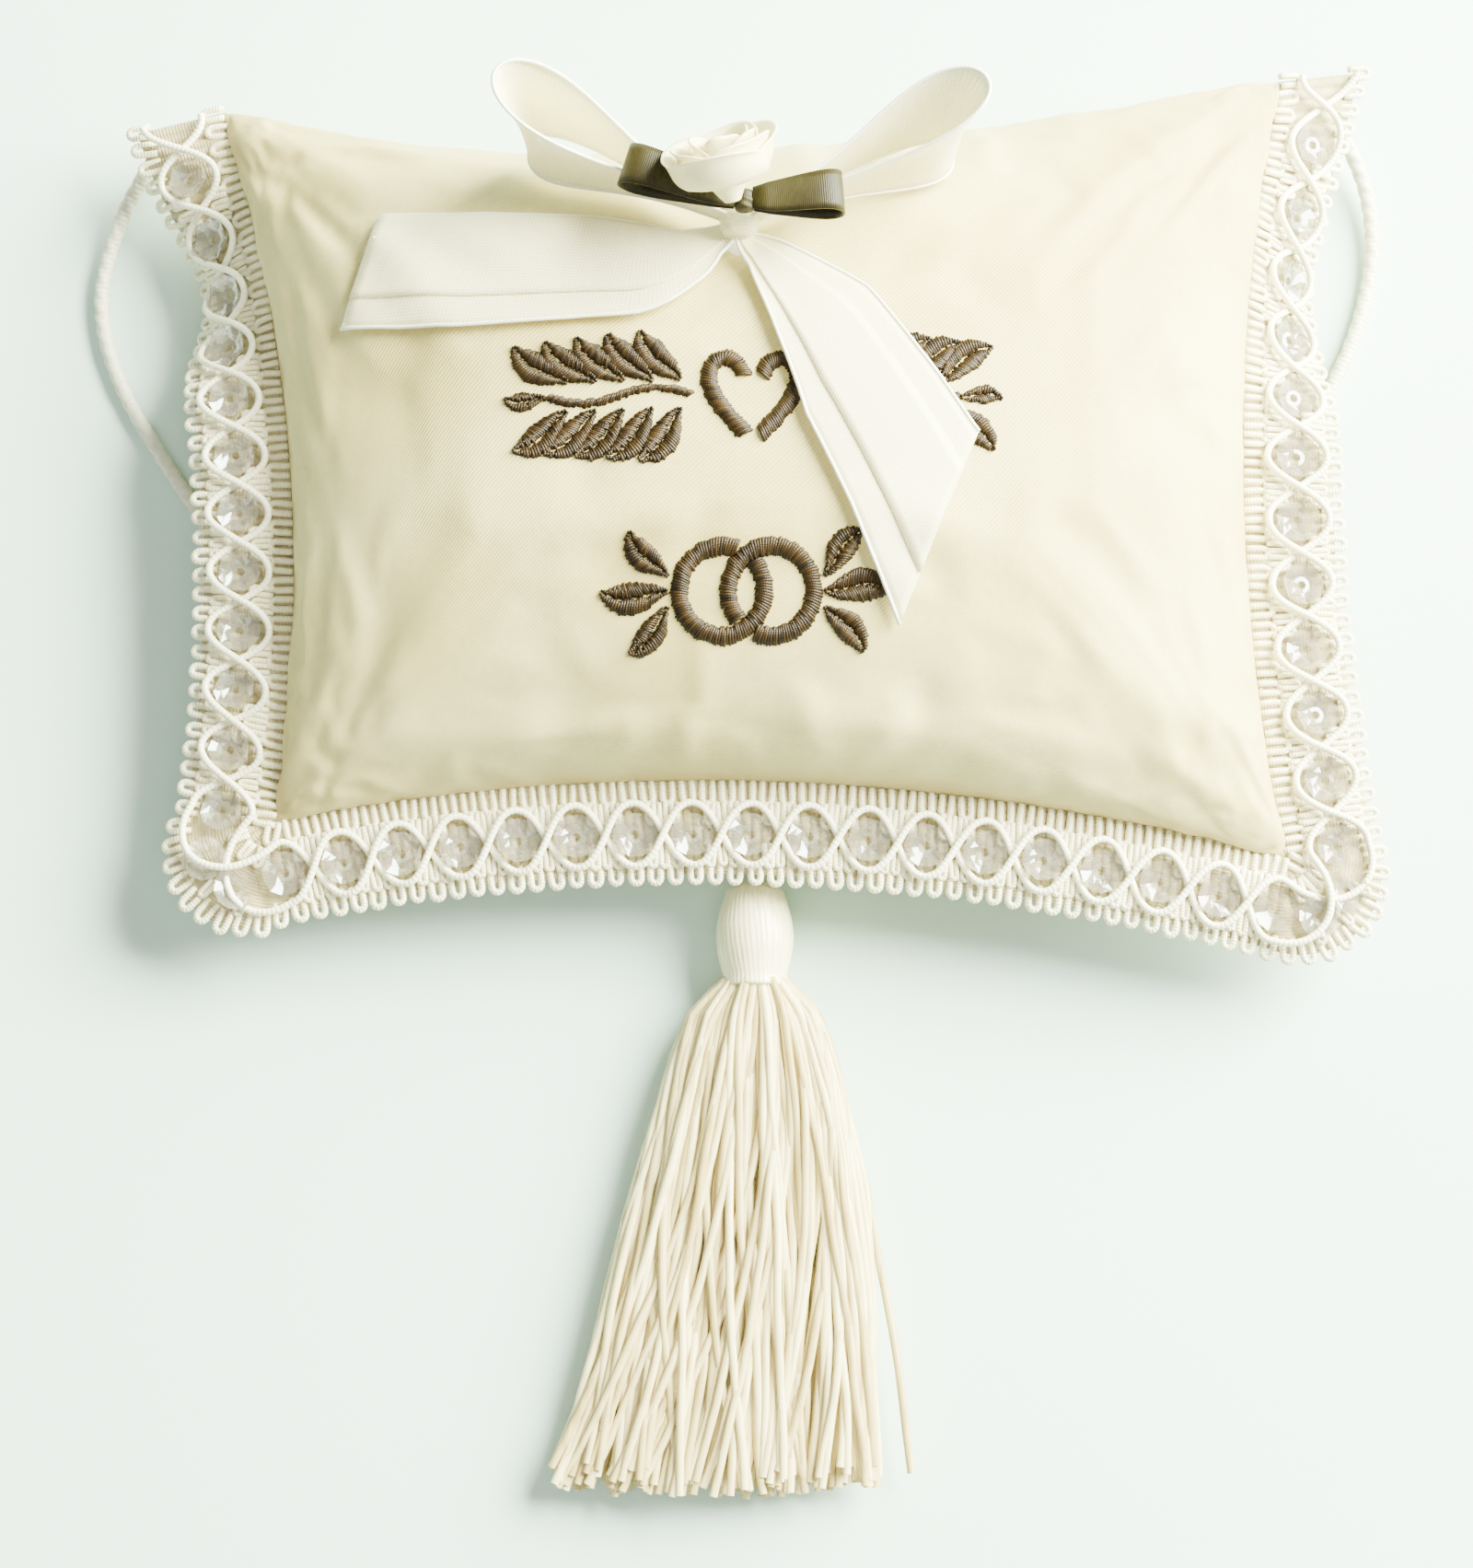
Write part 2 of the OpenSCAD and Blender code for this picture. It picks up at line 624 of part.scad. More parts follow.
module tassel_loop() {
    color(TASSEL) translate([tassel_x, anchor_y, loop_z])
        rotate_extrude($fn = 48) translate([loop_r, 0]) circle(r = loop_wire, $fn = 24);
}

// Turned pieces of the tassel run from the top of the head along -Y
module along_tassel(from = 0) {
    translate([tassel_x, head_y - from, axis_z]) rotate([90, 0, 0]) children();
}

core_bore_r = 1.3;
cover_l = head_l * 0.8;
cover_t = 0.9;
// Radius of the head at a share f of the cover's length
function head_radius(f) = head_r * (0.58 + 0.42 * pow(sin(180 * (0.1 + 0.62 * f)), 1.3));

// Cord that comes out of the top of the head
module tassel_core_cord() {
    color(TASSEL) along_tassel(-0.5) cylinder(r = core_bore_r - 0.2, h = cover_l - 1, $fn = 24);
}

module tassel_head_core() {
    inner = [for (i = [1:7]) let (f = i / 8) [head_radius(f) - cover_t - SEWN_GAP, f * cover_l]];
    color([0.75, 0.62, 0.45]) along_tassel() rotate_extrude($fn = 48)
        polygon(concat([[core_bore_r, inner[0][1]]], inner, [[core_bore_r, inner[6][1]]]));
}

module tassel_head_cover() {
    outer = [for (i = [0:12]) let (f = i / 12) [head_radius(f), f * cover_l]];
    color(TASSEL) along_tassel() rotate_extrude($fn = 64)
        polygon(concat(outer, [for (i = [12:-1:0]) outer[i] - [cover_t, 0]]));
}

binding_r = head_r - 1;
binding_in = 3.8;
module tassel_neck_binding() {
    color(TASSEL) along_tassel(cover_l + SEWN_GAP) rotate_extrude($fn = 64)
        polygon(concat([for (i = [0:8])
            [binding_r - 0.5 * pow(i / 4 - 1, 2), (head_l - cover_l - SEWN_GAP) * i / 8]],
            [[binding_in, head_l - cover_l - SEWN_GAP], [binding_in, 0]]));
}

// Half width, half thickness and sideways lean of the skirt at a share f of its length
function skirt_half(f) = binding_r + (skirt_half_w - binding_r) * pow(f, 0.47);
function skirt_thick(f) = mix(binding_r, 5.6, min(1, f * 6)) - 1.4 * f;
function skirt_lean(f) = -6 * f * f;

function skirt_ring(y, half, thick, x, z) =
    [for (k = [0:23]) let (a = 15 * k, r = k % 2 == 0 ? 1 : 0.94)
        [x + half * r * cos(a), y, z + thick * r * sin(a)]];

module tassel_skirt() {
    gathered = binding_in - SEWN_GAP;
    top_y = head_y - head_l - SEWN_GAP;
    rings = concat(
        [for (y = [head_y - cover_l - 0.3, top_y + 0.05]) skirt_ring(y, gathered, gathered, tassel_x, axis_z)],
        [for (i = [0:14]) let (f = pow(i / 14, 1.3), h = skirt_thick(f))
            skirt_ring(top_y - skirt_l * f, skirt_half(f), h, tassel_x + skirt_lean(f),
                mix(axis_z, h + 0.35, min(1, f * 3)))]);
    color(TASSEL) skin(rings);
}

// ---- Hanging cord: sewn under both top corners, put away under the crowned back ----

tack_r = 1.4;
tack_h = 2.2;
HANGER_ROUTE = [[-86.6, 57, 9.4], [-90, 55.3, 8.2], [-94.6, 50.5, 5.4], [-99, 42, 2.8], [-101, 31, 1.7],
    [-98, 19, 1.4], [-90, 5, 1.4], [-79, -11, 1.4], [-68, -27, 1.4], [-57, -39.5, 1.4],
    [-40, -44, 1.4], [-18, -44, 1.4], [4, -44, 1.4], [28, -45, 1.4], [50, -46.5, 1.4],
    [65, -38.5, 1.4], [72, -24, 1.4], [78, -6, 1.4], [84.5, 11, 1.4], [91.5, 26, 1.4],
    [94.5, 38, 1.6], [94, 48, 2.6], [91, 55.5, 5], [87.5, 60.3, 7.8], [84.6, 62.2, 9.4]];

module hanger_cord() {
    color([0.95, 0.94, 0.9]) tube(smooth_path(HANGER_ROUTE, 3), cord_d, 8);
}

// Knotted thread that holds an end of the cord under a corner of the bag
module hanger_tack(route_end, towards_bag) {
    at = HANGER_ROUTE[route_end];
    color(SATIN) translate([at[0] + towards_bag * (2 * FREE_GAP + tack_r), at[1], at[2] - tack_h / 2])
        cylinder(r = tack_r, h = tack_h, $fn = 32);
}

module hanger_tack_left() {
    hanger_tack(0, 1);
}

module hanger_tack_right() {
    hanger_tack(len(HANGER_ROUTE) - 1, -1);
}

front_panel();
back_panel();
fibre_fill();
embroidery_backing();
embroidery_upper();
embroidery_lower();
top_seam_stitches();
braid_tape();
braid_inner_picots();
braid_outer_picots();
scroll_cord_a();
scroll_cord_b();
braid_sequins();
braid_stitches();
sheer_bow_loop_left();
sheer_bow_loop_right();
sheer_bow_knot();
sheer_tail_left();
sheer_tail_right();
olive_bow_loop_left();
olive_bow_loop_right();
olive_bow_knot();
rose_base();
rose_petals();
rose_centre();
bow_tack_thread();
tassel_anchor();
tassel_loop();
tassel_core_cord();
tassel_head_core();
tassel_head_cover();
tassel_neck_binding();
tassel_skirt();
hanger_cord();
hanger_tack_left();
hanger_tack_right();
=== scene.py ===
"""Ring bearer pillow: satin bag, sequinned braid, ribbon bows, rose, stitched motifs, tassel and hanging cord."""
import math
import random

import bmesh
import bpy
from mathutils import Matrix, Vector
from mathutils.bvhtree import BVHTree


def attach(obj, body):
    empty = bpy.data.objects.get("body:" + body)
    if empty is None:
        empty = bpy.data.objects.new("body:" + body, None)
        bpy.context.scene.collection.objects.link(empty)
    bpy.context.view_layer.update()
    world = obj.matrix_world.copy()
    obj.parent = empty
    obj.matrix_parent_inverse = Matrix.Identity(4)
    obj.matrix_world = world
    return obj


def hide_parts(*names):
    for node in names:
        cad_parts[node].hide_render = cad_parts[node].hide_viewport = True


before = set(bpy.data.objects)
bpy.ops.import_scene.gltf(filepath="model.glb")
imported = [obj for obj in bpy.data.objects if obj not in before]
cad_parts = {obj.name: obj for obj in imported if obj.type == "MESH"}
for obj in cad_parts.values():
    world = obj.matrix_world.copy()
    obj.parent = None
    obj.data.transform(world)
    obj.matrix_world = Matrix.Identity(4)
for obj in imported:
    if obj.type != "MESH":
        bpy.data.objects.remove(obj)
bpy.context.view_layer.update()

# Everything below is worked out in millimetres; a mesh is made in metres
MM = 0.001
UP = Vector((0, 0, 1))


# ---- General functions ----

def mix(a, b, t):
    return a + (b - a) * t


def clamp(x, low, high):
    return max(low, min(high, x))


def bump(x, centre, reach):
    return max(0.0, 1 - ((x - centre) / reach) ** 2) ** 2


def polar(r, degrees):
    return Vector((r * math.cos(math.radians(degrees)), r * math.sin(math.radians(degrees))))


def left_of(t):
    return Vector((-t.y, t.x))


def heading(path, i):
    return (path[min(i + 1, len(path) - 1)] - path[max(i - 1, 0)]).normalized()


def smooth_path(points, steps):
    """A smooth curve through given points, with steps points for each stretch"""
    points = [Vector(p) for p in points]
    last = len(points) - 1
    path = []
    for i in range(last):
        a, b, c, d = points[max(i - 1, 0)], points[i], points[i + 1], points[min(i + 2, last)]
        for k in range(steps + (i == last - 1)):
            t = k / steps
            path.append(0.5 * (2 * b + (c - a) * t + (2 * a - 5 * b + 4 * c - d) * t * t
                               + (3 * b - a - 3 * c + d) * t ** 3))
    return path


def path_length(path):
    return sum((b - a).length for a, b in zip(path, path[1:]))


def along(values, f):
    """The value at a share f of a list of evenly spaced ones"""
    x = clamp(f, 0, 1) * (len(values) - 1)
    i = min(int(x), len(values) - 2)
    return mix(values[i], values[i + 1], x - i)


# ---- Node trees ----

def wire(tree, node, links):
    """Set a node's inputs by name or number: each to a value, a socket or a node"""
    for key, value in links.items():
        if isinstance(value, bpy.types.Node):
            value = value.outputs[0]
        if isinstance(value, bpy.types.NodeSocket):
            tree.links.new(value, node.inputs[key])
        else:
            node.inputs[key].default_value = value


def put(tree, kind, links=None, **settings):
    """Add a node with its settings and inputs"""
    node = tree.nodes.new(kind)
    for key, value in settings.items():
        setattr(node, key, value)
    wire(tree, node, links or {})
    return node


def maths(tree, operation, *values):
    return put(tree, "ShaderNodeMath", dict(enumerate(values)), operation=operation)


def colour(code, alpha=1.0):
    """An sRGB hex value as linear colour"""
    parts = [int(code[i:i + 2], 16) / 255 for i in (1, 3, 5)]
    return [c / 12.92 if c <= 0.04045 else ((c + 0.055) / 1.055) ** 2.4 for c in parts] + [alpha]


def new_material(name):
    material = bpy.data.materials.new(name)
    material.use_nodes = True
    tree = material.node_tree
    tree.nodes.clear()
    shader = put(tree, "ShaderNodeBsdfPrincipled")
    put(tree, "ShaderNodeOutputMaterial", {"Surface": shader})
    return material, tree, shader


def waves(tree, axis, pitch, degrees=None):
    """A sine along one axis of the UV map, which is in millimetres and may be turned first"""
    uv = put(tree, "ShaderNodeUVMap", uv_map="UVMap")
    if degrees is not None:
        uv = put(tree, "ShaderNodeVectorRotate", {"Vector": uv, "Angle": math.radians(degrees)}, rotation_type="Z_AXIS")
    length = put(tree, "ShaderNodeSeparateXYZ", {0: uv}).outputs[axis]
    return maths(tree, "SINE", maths(tree, "MULTIPLY", length, 2 * math.pi / pitch))


def cloudy(tree, scale, detail, stretch=None):
    """Noise that stays on the piece; a stretch under 1 draws it out along Y"""
    place = put(tree, "ShaderNodeTexCoord").outputs["Object"]
    if stretch:
        place = put(tree, "ShaderNodeMapping", {"Vector": place, "Scale": (1, stretch, 1)})
    return put(tree, "ShaderNodeTexNoise", {"Vector": place, "Scale": scale, "Detail": detail})


def blend(tree, shader, share, shade, light):
    """Colour a shader between two tones"""
    dyed = put(tree, "ShaderNodeMix", {0: share, 6: shade, 7: light}, data_type="RGBA")
    wire(tree, shader, {"Base Color": dyed.outputs[2]})


def raise_up(tree, shader, height, depth, strength=0.8):
    """Give a shader the relief of a height"""
    relief = put(tree, "ShaderNodeBump", {"Height": height, "Distance": depth, "Strength": strength})
    wire(tree, shader, {"Normal": relief})


def twill_satin(name, light, shade, pitch, roughness, sheen, rib, angle=45, gloss=0.5):
    """Ribbed satin: the ribs give a fine diagonal grain in relief, with painted shade in their grooves, and the weave a
    soft broad sheen
    """
    material, tree, shader = new_material(name)
    ribs = waves(tree, 0, pitch, angle)
    slub = cloudy(tree, 900, 3)
    both = maths(tree, "MULTIPLY_ADD", slub, 0.25, cloudy(tree, 28, 2))
    # The ribs lighten the colour on their crowns and darken it in their grooves: painted shade of their relief, laid
    # over the cloth's own random tone
    tone_and_rib_shade = maths(tree, "MULTIPLY_ADD", ribs, 0.06, both)
    share = put(tree, "ShaderNodeMapRange", {0: tone_and_rib_shade, 1: 0.42, 2: 0.86})
    blend(tree, shader, share, colour(shade), colour(light))
    raise_up(tree, shader, maths(tree, "MULTIPLY_ADD", slub, 1.2, ribs), rib)
    wire(tree, shader, {"Roughness": roughness, "Sheen Weight": sheen, "Sheen Roughness": 0.4, "IOR": 1.5,
                        "Sheen Tint": colour("#fff8e8"), "Specular IOR Level": gloss})
    return material


def wound_thread(name, light, shade, pitch, roughness, sheen, ridge, spread, grain=700, stretch=1.0, gloss=0.5):
    """Thread or cord: its strands wind round it, so its length gives fine ridges, and each piece has its own tone"""
    material, tree, shader = new_material(name)
    ridges = waves(tree, 1, pitch)
    fibre = cloudy(tree, grain, 3, stretch)
    own = put(tree, "ShaderNodeAttribute", attribute_name="tone").outputs["Fac"]
    share = put(tree, "ShaderNodeMapRange",
                {0: maths(tree, "MULTIPLY_ADD", own, spread, fibre), 1: 0.3, 2: 0.7 + spread})
    blend(tree, shader, share, colour(shade), colour(light))
    raise_up(tree, shader, maths(tree, "MULTIPLY_ADD", ridges, 0.5, fibre), ridge)
    wire(tree, shader, {"Roughness": roughness, "Sheen Weight": sheen, "Sheen Roughness": 0.35, "IOR": 1.5,
                        "Specular IOR Level": gloss})
    return material


def organza(name, tint, cover, pitch):
    """Sheer plain weave: fine bright yarns with clear gaps between them, so what lies under shows through it"""
    material, tree, shader = new_material(name)
    weave = maths(tree, "MAXIMUM", waves(tree, 0, pitch), waves(tree, 1, pitch))
    solid = put(tree, "ShaderNodeMapRange", {0: weave, 1: -1, 2: 1, 3: cover - 0.12, 4: cover + 0.12})
    raise_up(tree, shader, weave, 0.00003, 0.5)
    wire(tree, shader, {"Base Color": colour(tint), "Alpha": solid, "Roughness": 0.38, "Sheen Weight": 0.5,
                        "Sheen Roughness": 0.3, "IOR": 1.5})
    return material


def clear_film(name):
    """Thin clear plastic with a pearl coat: sharp white glints, a faint change of colour, and clear to the braid"""
    material, tree, shader = new_material(name)
    blend(tree, shader, cloudy(tree, 260, 1), colour("#f4edd2"), colour("#ffffff"))
    wire(tree, shader, {"Roughness": 0.09, "IOR": 1.5, "Transmission Weight": 0.9, "Coat Weight": 1.0,
                        "Coat Roughness": 0.05, "Thin Film Thickness": 380, "Thin Film IOR": 1.6})
    return material


def plain_fibre(name, code, roughness, scale, depth):
    """Loose or bonded fibre: matt, with a soft felted grain"""
    material, tree, shader = new_material(name)
    felt = cloudy(tree, scale, 4)
    blend(tree, shader, felt, [c * 0.8 for c in colour(code)[:3]] + [1], colour(code))
    raise_up(tree, shader, felt, depth, 0.6)
    wire(tree, shader, {"Roughness": roughness, "Sheen Weight": 0.2})
    return material


# Ivory polyester satin with a twill face, woven: 0.42 mm ribs stand in for the real 0.3 mm ones, too fine to show
PANEL_SATIN = twill_satin("twill_satin_ivory", "#dccf8e", "#c2b168", 0.42, 0.5, 0.1, 0.00003)
# Narrow double-face satin, woven: smooth and bright along its length
ROSE_SATIN = twill_satin("ribbon_satin_ivory", "#fcf4c8", "#efe4aa", 0.3, 0.36, 0.25, 0.00002, 0)
# The same ribbon dyed olive brown: dark, with a soft grey-green light along its folds
OLIVE_SATIN = twill_satin("ribbon_satin_olive", "#3a3310", "#1d1805", 0.3, 0.42, 0.0, 0.00002, 0, 0.25)
# Nylon organza: a pale haze over what is under it
SHEER = organza("organza_pale", "#fdf5c8", 0.74, 0.5)
# Satin selvedge with a clear line woven in: a bright edge on the sheer ribbon
SELVEDGE = wound_thread("selvedge_satin", "#fffef2", "#f6f0d8", 0.6, 0.25, 0.4, 0.00002, 0.2)
# Rayon gimp, wound round a core: soft bright bars, dull between
GIMP = wound_thread("gimp_rayon", "#fffce6", "#efe6bc", 0.45, 0.34, 0.5, 0.00007, 0.5)
# Bright rayon cord laid over the braid: the whitest and smoothest thread on it
SCROLL = wound_thread("scroll_rayon", "#fffdea", "#f8f1cc", 0.7, 0.3, 0.4, 0.00006, 0.2)
# Cotton ground of the braid: matt and darker than what is laid on it
GROUND = wound_thread("ground_cotton", "#cfc49c", "#a89a70", 0.5, 0.75, 0.2, 0.00008, 0.4)
SEQUIN_FILM = clear_film("sequin_pet_film")
# Brown rayon embroidery thread: each stitch has a thin light line on a dark ground
BROWN_THREAD = wound_thread("embroidery_rayon_brown", "#3b2a10", "#100a03", 0.3, 0.42, 0.0, 0.00002, 0.8,
                            gloss=0.25)
# Spun polyester sewing thread: matt, the colour of the cloth
SEWING_THREAD = wound_thread("sewing_polyester", "#efe8d6", "#ddd3bb", 0.4, 0.6, 0.2, 0.00004, 0.3)
# Untwisted rayon floss: silky cream strands, darker between them
TASSEL_YARN = wound_thread("tassel_rayon_floss", "#f9ecb6", "#ab9450", 5.0, 0.34, 0.2, 0.00006, 1.0, 1500, 0.04)
HEAD_YARN = wound_thread("tassel_head_floss", "#fdf6d2", "#ecdfa8", 3.0, 0.2, 0.3, 0.00003, 0.6, 1500, 0.05)
# Twisted rayon cord: two bright plies with a groove between
CORD_RAYON = wound_thread("cord_rayon_twisted", "#f2f1e0", "#ddd8c0", 0.8, 0.4, 0.3, 0.00006, 0.3)
# Polyester fibre fill, carded: a matt white fluff
FILL_FIBRE = plain_fibre("fill_polyester_carded", "#f4f4ee", 0.95, 500, 0.0004)
# Bonded backing cloth: matt and papery
BACKING = plain_fibre("backing_bonded_fibre", "#efece2", 0.85, 1500, 0.0001)


# ---- Meshes ----

def add_object(name, data):
    thing = bpy.data.objects.new(name, data)
    bpy.context.scene.collection.objects.link(thing)
    return thing


def new_piece(name, points, faces, material, uv=None, tone=None, smooth=True, closed=True):
    """A piece from points in millimetres. uv gives each point's place in millimetres, tone its own shade. The faces
    of a closed piece are turned to point out of it"""
    mesh = bpy.data.meshes.new(name)
    mesh.from_pydata([Vector(p) * MM for p in points], [], faces)
    mesh.validate()
    layer = mesh.uv_layers.new(name="UVMap")
    if uv:
        for loop in mesh.loops:
            layer.data[loop.index].uv = uv[loop.vertex_index]
    if tone:
        mesh.attributes.new("tone", "FLOAT", "POINT").data.foreach_set("value", tone)
    mesh.polygons.foreach_set("use_smooth", [smooth] * len(mesh.polygons))
    mesh.materials.append(material)
    mesh.update()
    if closed:
        work = bmesh.new()
        work.from_mesh(mesh)
        bmesh.ops.recalc_face_normals(work, faces=work.faces)
        work.to_mesh(mesh)
        work.free()
    return add_object(name, mesh)


def belongs(piece, body, slot, *nodes):
    """Say which body a piece moves with and which CAD nodes it stands for, and hide those nodes. slot, which slot its
    look fills, is not used
    """
    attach(piece, body)
    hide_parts(*nodes)


def grid_faces(rows, columns, closed=False):
    faces = []
    for i in range(rows - 1):
        for j in range(columns - (not closed)):
            k = (j + 1) % columns
            faces.append((i * columns + j, i * columns + k, (i + 1) * columns + k, (i + 1) * columns + j))
    return faces


def tube_faces(rings, sides):
    """The faces of a tube with both of its ends closed"""
    last = (rings - 1) * sides
    return grid_faces(rings, sides, True) + [tuple(range(sides)), tuple(last + k for k in reversed(range(sides)))]


def ribbon_piece(name, rows, material, thick):
    """A thin closed cloth from rows of middle points across it, with UV in millimetres along and across"""
    count, wide = len(rows), len(rows[0])
    normals = []
    for i, row in enumerate(rows):
        for j, p in enumerate(row):
            down = rows[min(i + 1, count - 1)][j] - rows[max(i - 1, 0)][j]
            side = row[min(j + 1, wide - 1)] - row[max(j - 1, 0)]
            normals.append(down.cross(side).normalized())
    flat = [p for row in rows for p in row]
    half = thick / 2
    points = [p + n * half for p, n in zip(flat, normals)] + [p - n * half for p, n in zip(flat, normals)]
    total = count * wide
    faces = grid_faces(count, wide)
    faces += [tuple(total + k for k in reversed(f)) for f in faces]
    rim = ([j for j in range(wide)] + [i * wide + wide - 1 for i in range(1, count)]
           + [(count - 1) * wide + j for j in range(wide - 2, -1, -1)] + [i * wide for i in range(count - 2, 0, -1)])
    faces += [(b, a, a + total, b + total) for a, b in zip(rim, rim[1:] + rim[:1])]
    steps = [0.0]
    for a, b in zip(rows, rows[1:]):
        steps.append(steps[-1] + (b[wide // 2] - a[wide // 2]).length)
    uv = []
    for i, row in enumerate(rows):
        across = 0.0
        for j, p in enumerate(row):
            across += (p - row[j - 1]).length if j else 0.0
            uv.append((steps[i], across))
    return new_piece(name, points, faces, material, uv + uv)


def frames_along(path):
    """A side and an up for each point, turned as little as possible from one to the next"""
    side = None
    result = []
    for i in range(len(path)):
        t = heading(path, i)
        if side is None:
            side = t.cross(UP) if abs(t.z) < 0.9 else t.cross(Vector((1, 0, 0)))
        side = (side - t * side.dot(t)).normalized()
        result.append((side, side.cross(t)))
    return result


def rope_points(path, radius, sides, plies=0, groove=0.0, twist=4.0):
    """Points and UV of a rope. plies and groove cut its outline; twist is the length of one turn"""
    points, uv, run = [], [], 0.0
    for i, (p, (side, up)) in enumerate(zip(path, frames_along(path))):
        run += (path[i] - path[i - 1]).length if i else 0.0
        for k in range(sides):
            a = 2 * math.pi * k / sides
            shape = 1 - groove * abs(math.cos(plies / 2 * (a - 2 * math.pi * run / twist))) ** 6 if plies else 1
            points.append(p + (side * math.cos(a) + up * math.sin(a)) * radius * shape)
            uv.append((k / sides, run))
    return points, uv


def rope_piece(name, paths, radius, sides, material, **shape):
    points, faces, uv, tones = [], [], [], []
    for n, path in enumerate(paths):
        new_points, new_uv = rope_points(path, radius, sides, **shape)
        faces += [tuple(len(points) + k for k in f) for f in tube_faces(len(path), sides)]
        points += new_points
        uv += new_uv
        tones += [(n * 0.618) % 1] * len(new_points)
    return new_piece(name, points, faces, material, uv, tones)


def guide_lines(lines, outs=None, ups=None):
    """Lines of points for Geometry Nodes to follow, with a sideways and an upward direction at each point"""
    edges, base = [], 0
    for line in lines:
        edges += [(base + i, base + i + 1) for i in range(len(line) - 1)]
        base += len(line)
    mesh = bpy.data.meshes.new("guide")
    mesh.from_pydata([Vector(p) * MM for line in lines for p in line], edges, [])
    for label, vectors in (("out", outs), ("up", ups)):
        if vectors:
            layer = mesh.attributes.new(label, "FLOAT_VECTOR", "POINT")
            layer.data.foreach_set("vector", [c for v in vectors for c in v])
    return add_object("guide", mesh)


def new_tree(name, **inputs):
    """A Geometry Nodes tree, with the names of its inputs of each kind, and where those inputs are"""
    tree = bpy.data.node_groups.new(name, "GeometryNodeTree")
    for kind, labels in {"Geometry": ["Geometry"], **inputs, "Material": ["Material"]}.items():
        for label in labels:
            tree.interface.new_socket(label, in_out="INPUT", socket_type="NodeSocket" + kind)
    tree.interface.new_socket("Geometry", in_out="OUTPUT", socket_type="NodeSocketGeometry")
    return tree, tree.nodes.new("NodeGroupInput").outputs


def stored(tree, geometry, name, value, data_type="FLOAT", domain="POINT"):
    return put(tree, "GeometryNodeStoreNamedAttribute", {0: geometry, "Name": name, "Value": value},
               data_type=data_type, domain=domain)


def named(tree, name, data_type):
    return put(tree, "GeometryNodeInputNamedAttribute", {"Name": name}, data_type=data_type)


def chance(tree, given, links=None, data_type="FLOAT"):
    return put(tree, "FunctionNodeRandomValue", {"Seed": given["Seed"], **(links or {})}, data_type=data_type)


def evenly(tree, given):
    """The guide lines as curves, and the same with evenly spaced points"""
    curve = put(tree, "GeometryNodeMeshToCurve", {0: given["Geometry"]})
    return curve, put(tree, "GeometryNodeResampleCurve", {0: curve, "Length": given["Spacing"]}, mode="LENGTH")


def hand_out(tree, geometry, given):
    """Give the geometry its material and pass it out of the tree"""
    real = put(tree, "GeometryNodeRealizeInstances", {0: geometry})
    dressed = put(tree, "GeometryNodeSetMaterial", {0: real, "Material": given["Material"]})
    put(tree, "NodeGroupOutput", {0: dressed})
    return tree


def laid_thread_tree():
    """Threads that follow guide lines: each is a round or flattened rod that wanders a little, with its own tone"""
    tree, given = new_tree("laid_threads", Float=["Radius", "Flatness", "Spacing", "Wander", "Wander scale"],
                           Int=["Sides", "Seed"])
    own = put(tree, "GeometryNodeInputIndex")
    line = put(tree, "GeometryNodeFieldOnDomain", {0: own}, domain="CURVE", data_type="INT")
    tone = chance(tree, given, {"ID": line}).outputs[1]
    kept = stored(tree, evenly(tree, given)[1], "tone", tone, domain="CURVE")
    noise = put(tree, "ShaderNodeTexNoise",
                {"Vector": put(tree, "GeometryNodeInputPosition"), "W": maths(tree, "MULTIPLY", tone, 40.0),
                 "Scale": given["Wander scale"], "Detail": 1}, noise_dimensions="4D")
    centred = put(tree, "ShaderNodeVectorMath", {0: noise.outputs["Color"], 1: (0.5, 0.5, 0.5)}, operation="SUBTRACT")
    shift = put(tree, "ShaderNodeVectorMath", {0: centred, "Scale": given["Wander"]}, operation="SCALE")
    moved = put(tree, "GeometryNodeSetPosition", {0: kept, "Offset": shift})
    run = put(tree, "GeometryNodeSplineParameter").outputs["Length"]
    ring = put(tree, "GeometryNodeCurvePrimitiveCircle", {"Resolution": given["Sides"], "Radius": given["Radius"]})
    squash = put(tree, "ShaderNodeCombineXYZ", {0: 1.0, 1: given["Flatness"], 2: 1.0})
    oval = put(tree, "GeometryNodeTransform", {0: ring, "Scale": squash})
    rods = put(tree, "GeometryNodeCurveToMesh",
               {"Curve": stored(tree, moved, "run", run), "Profile Curve": oval, "Fill Caps": True})
    in_mm = maths(tree, "DIVIDE", named(tree, "run", "FLOAT"), MM)
    uv = put(tree, "ShaderNodeCombineXYZ", {0: 0.0, 1: in_mm})
    mapped = stored(tree, rods, "UVMap", uv, "FLOAT2", "CORNER")
    return hand_out(tree, put(tree, "GeometryNodeSetShadeSmooth", {0: mapped}), given)


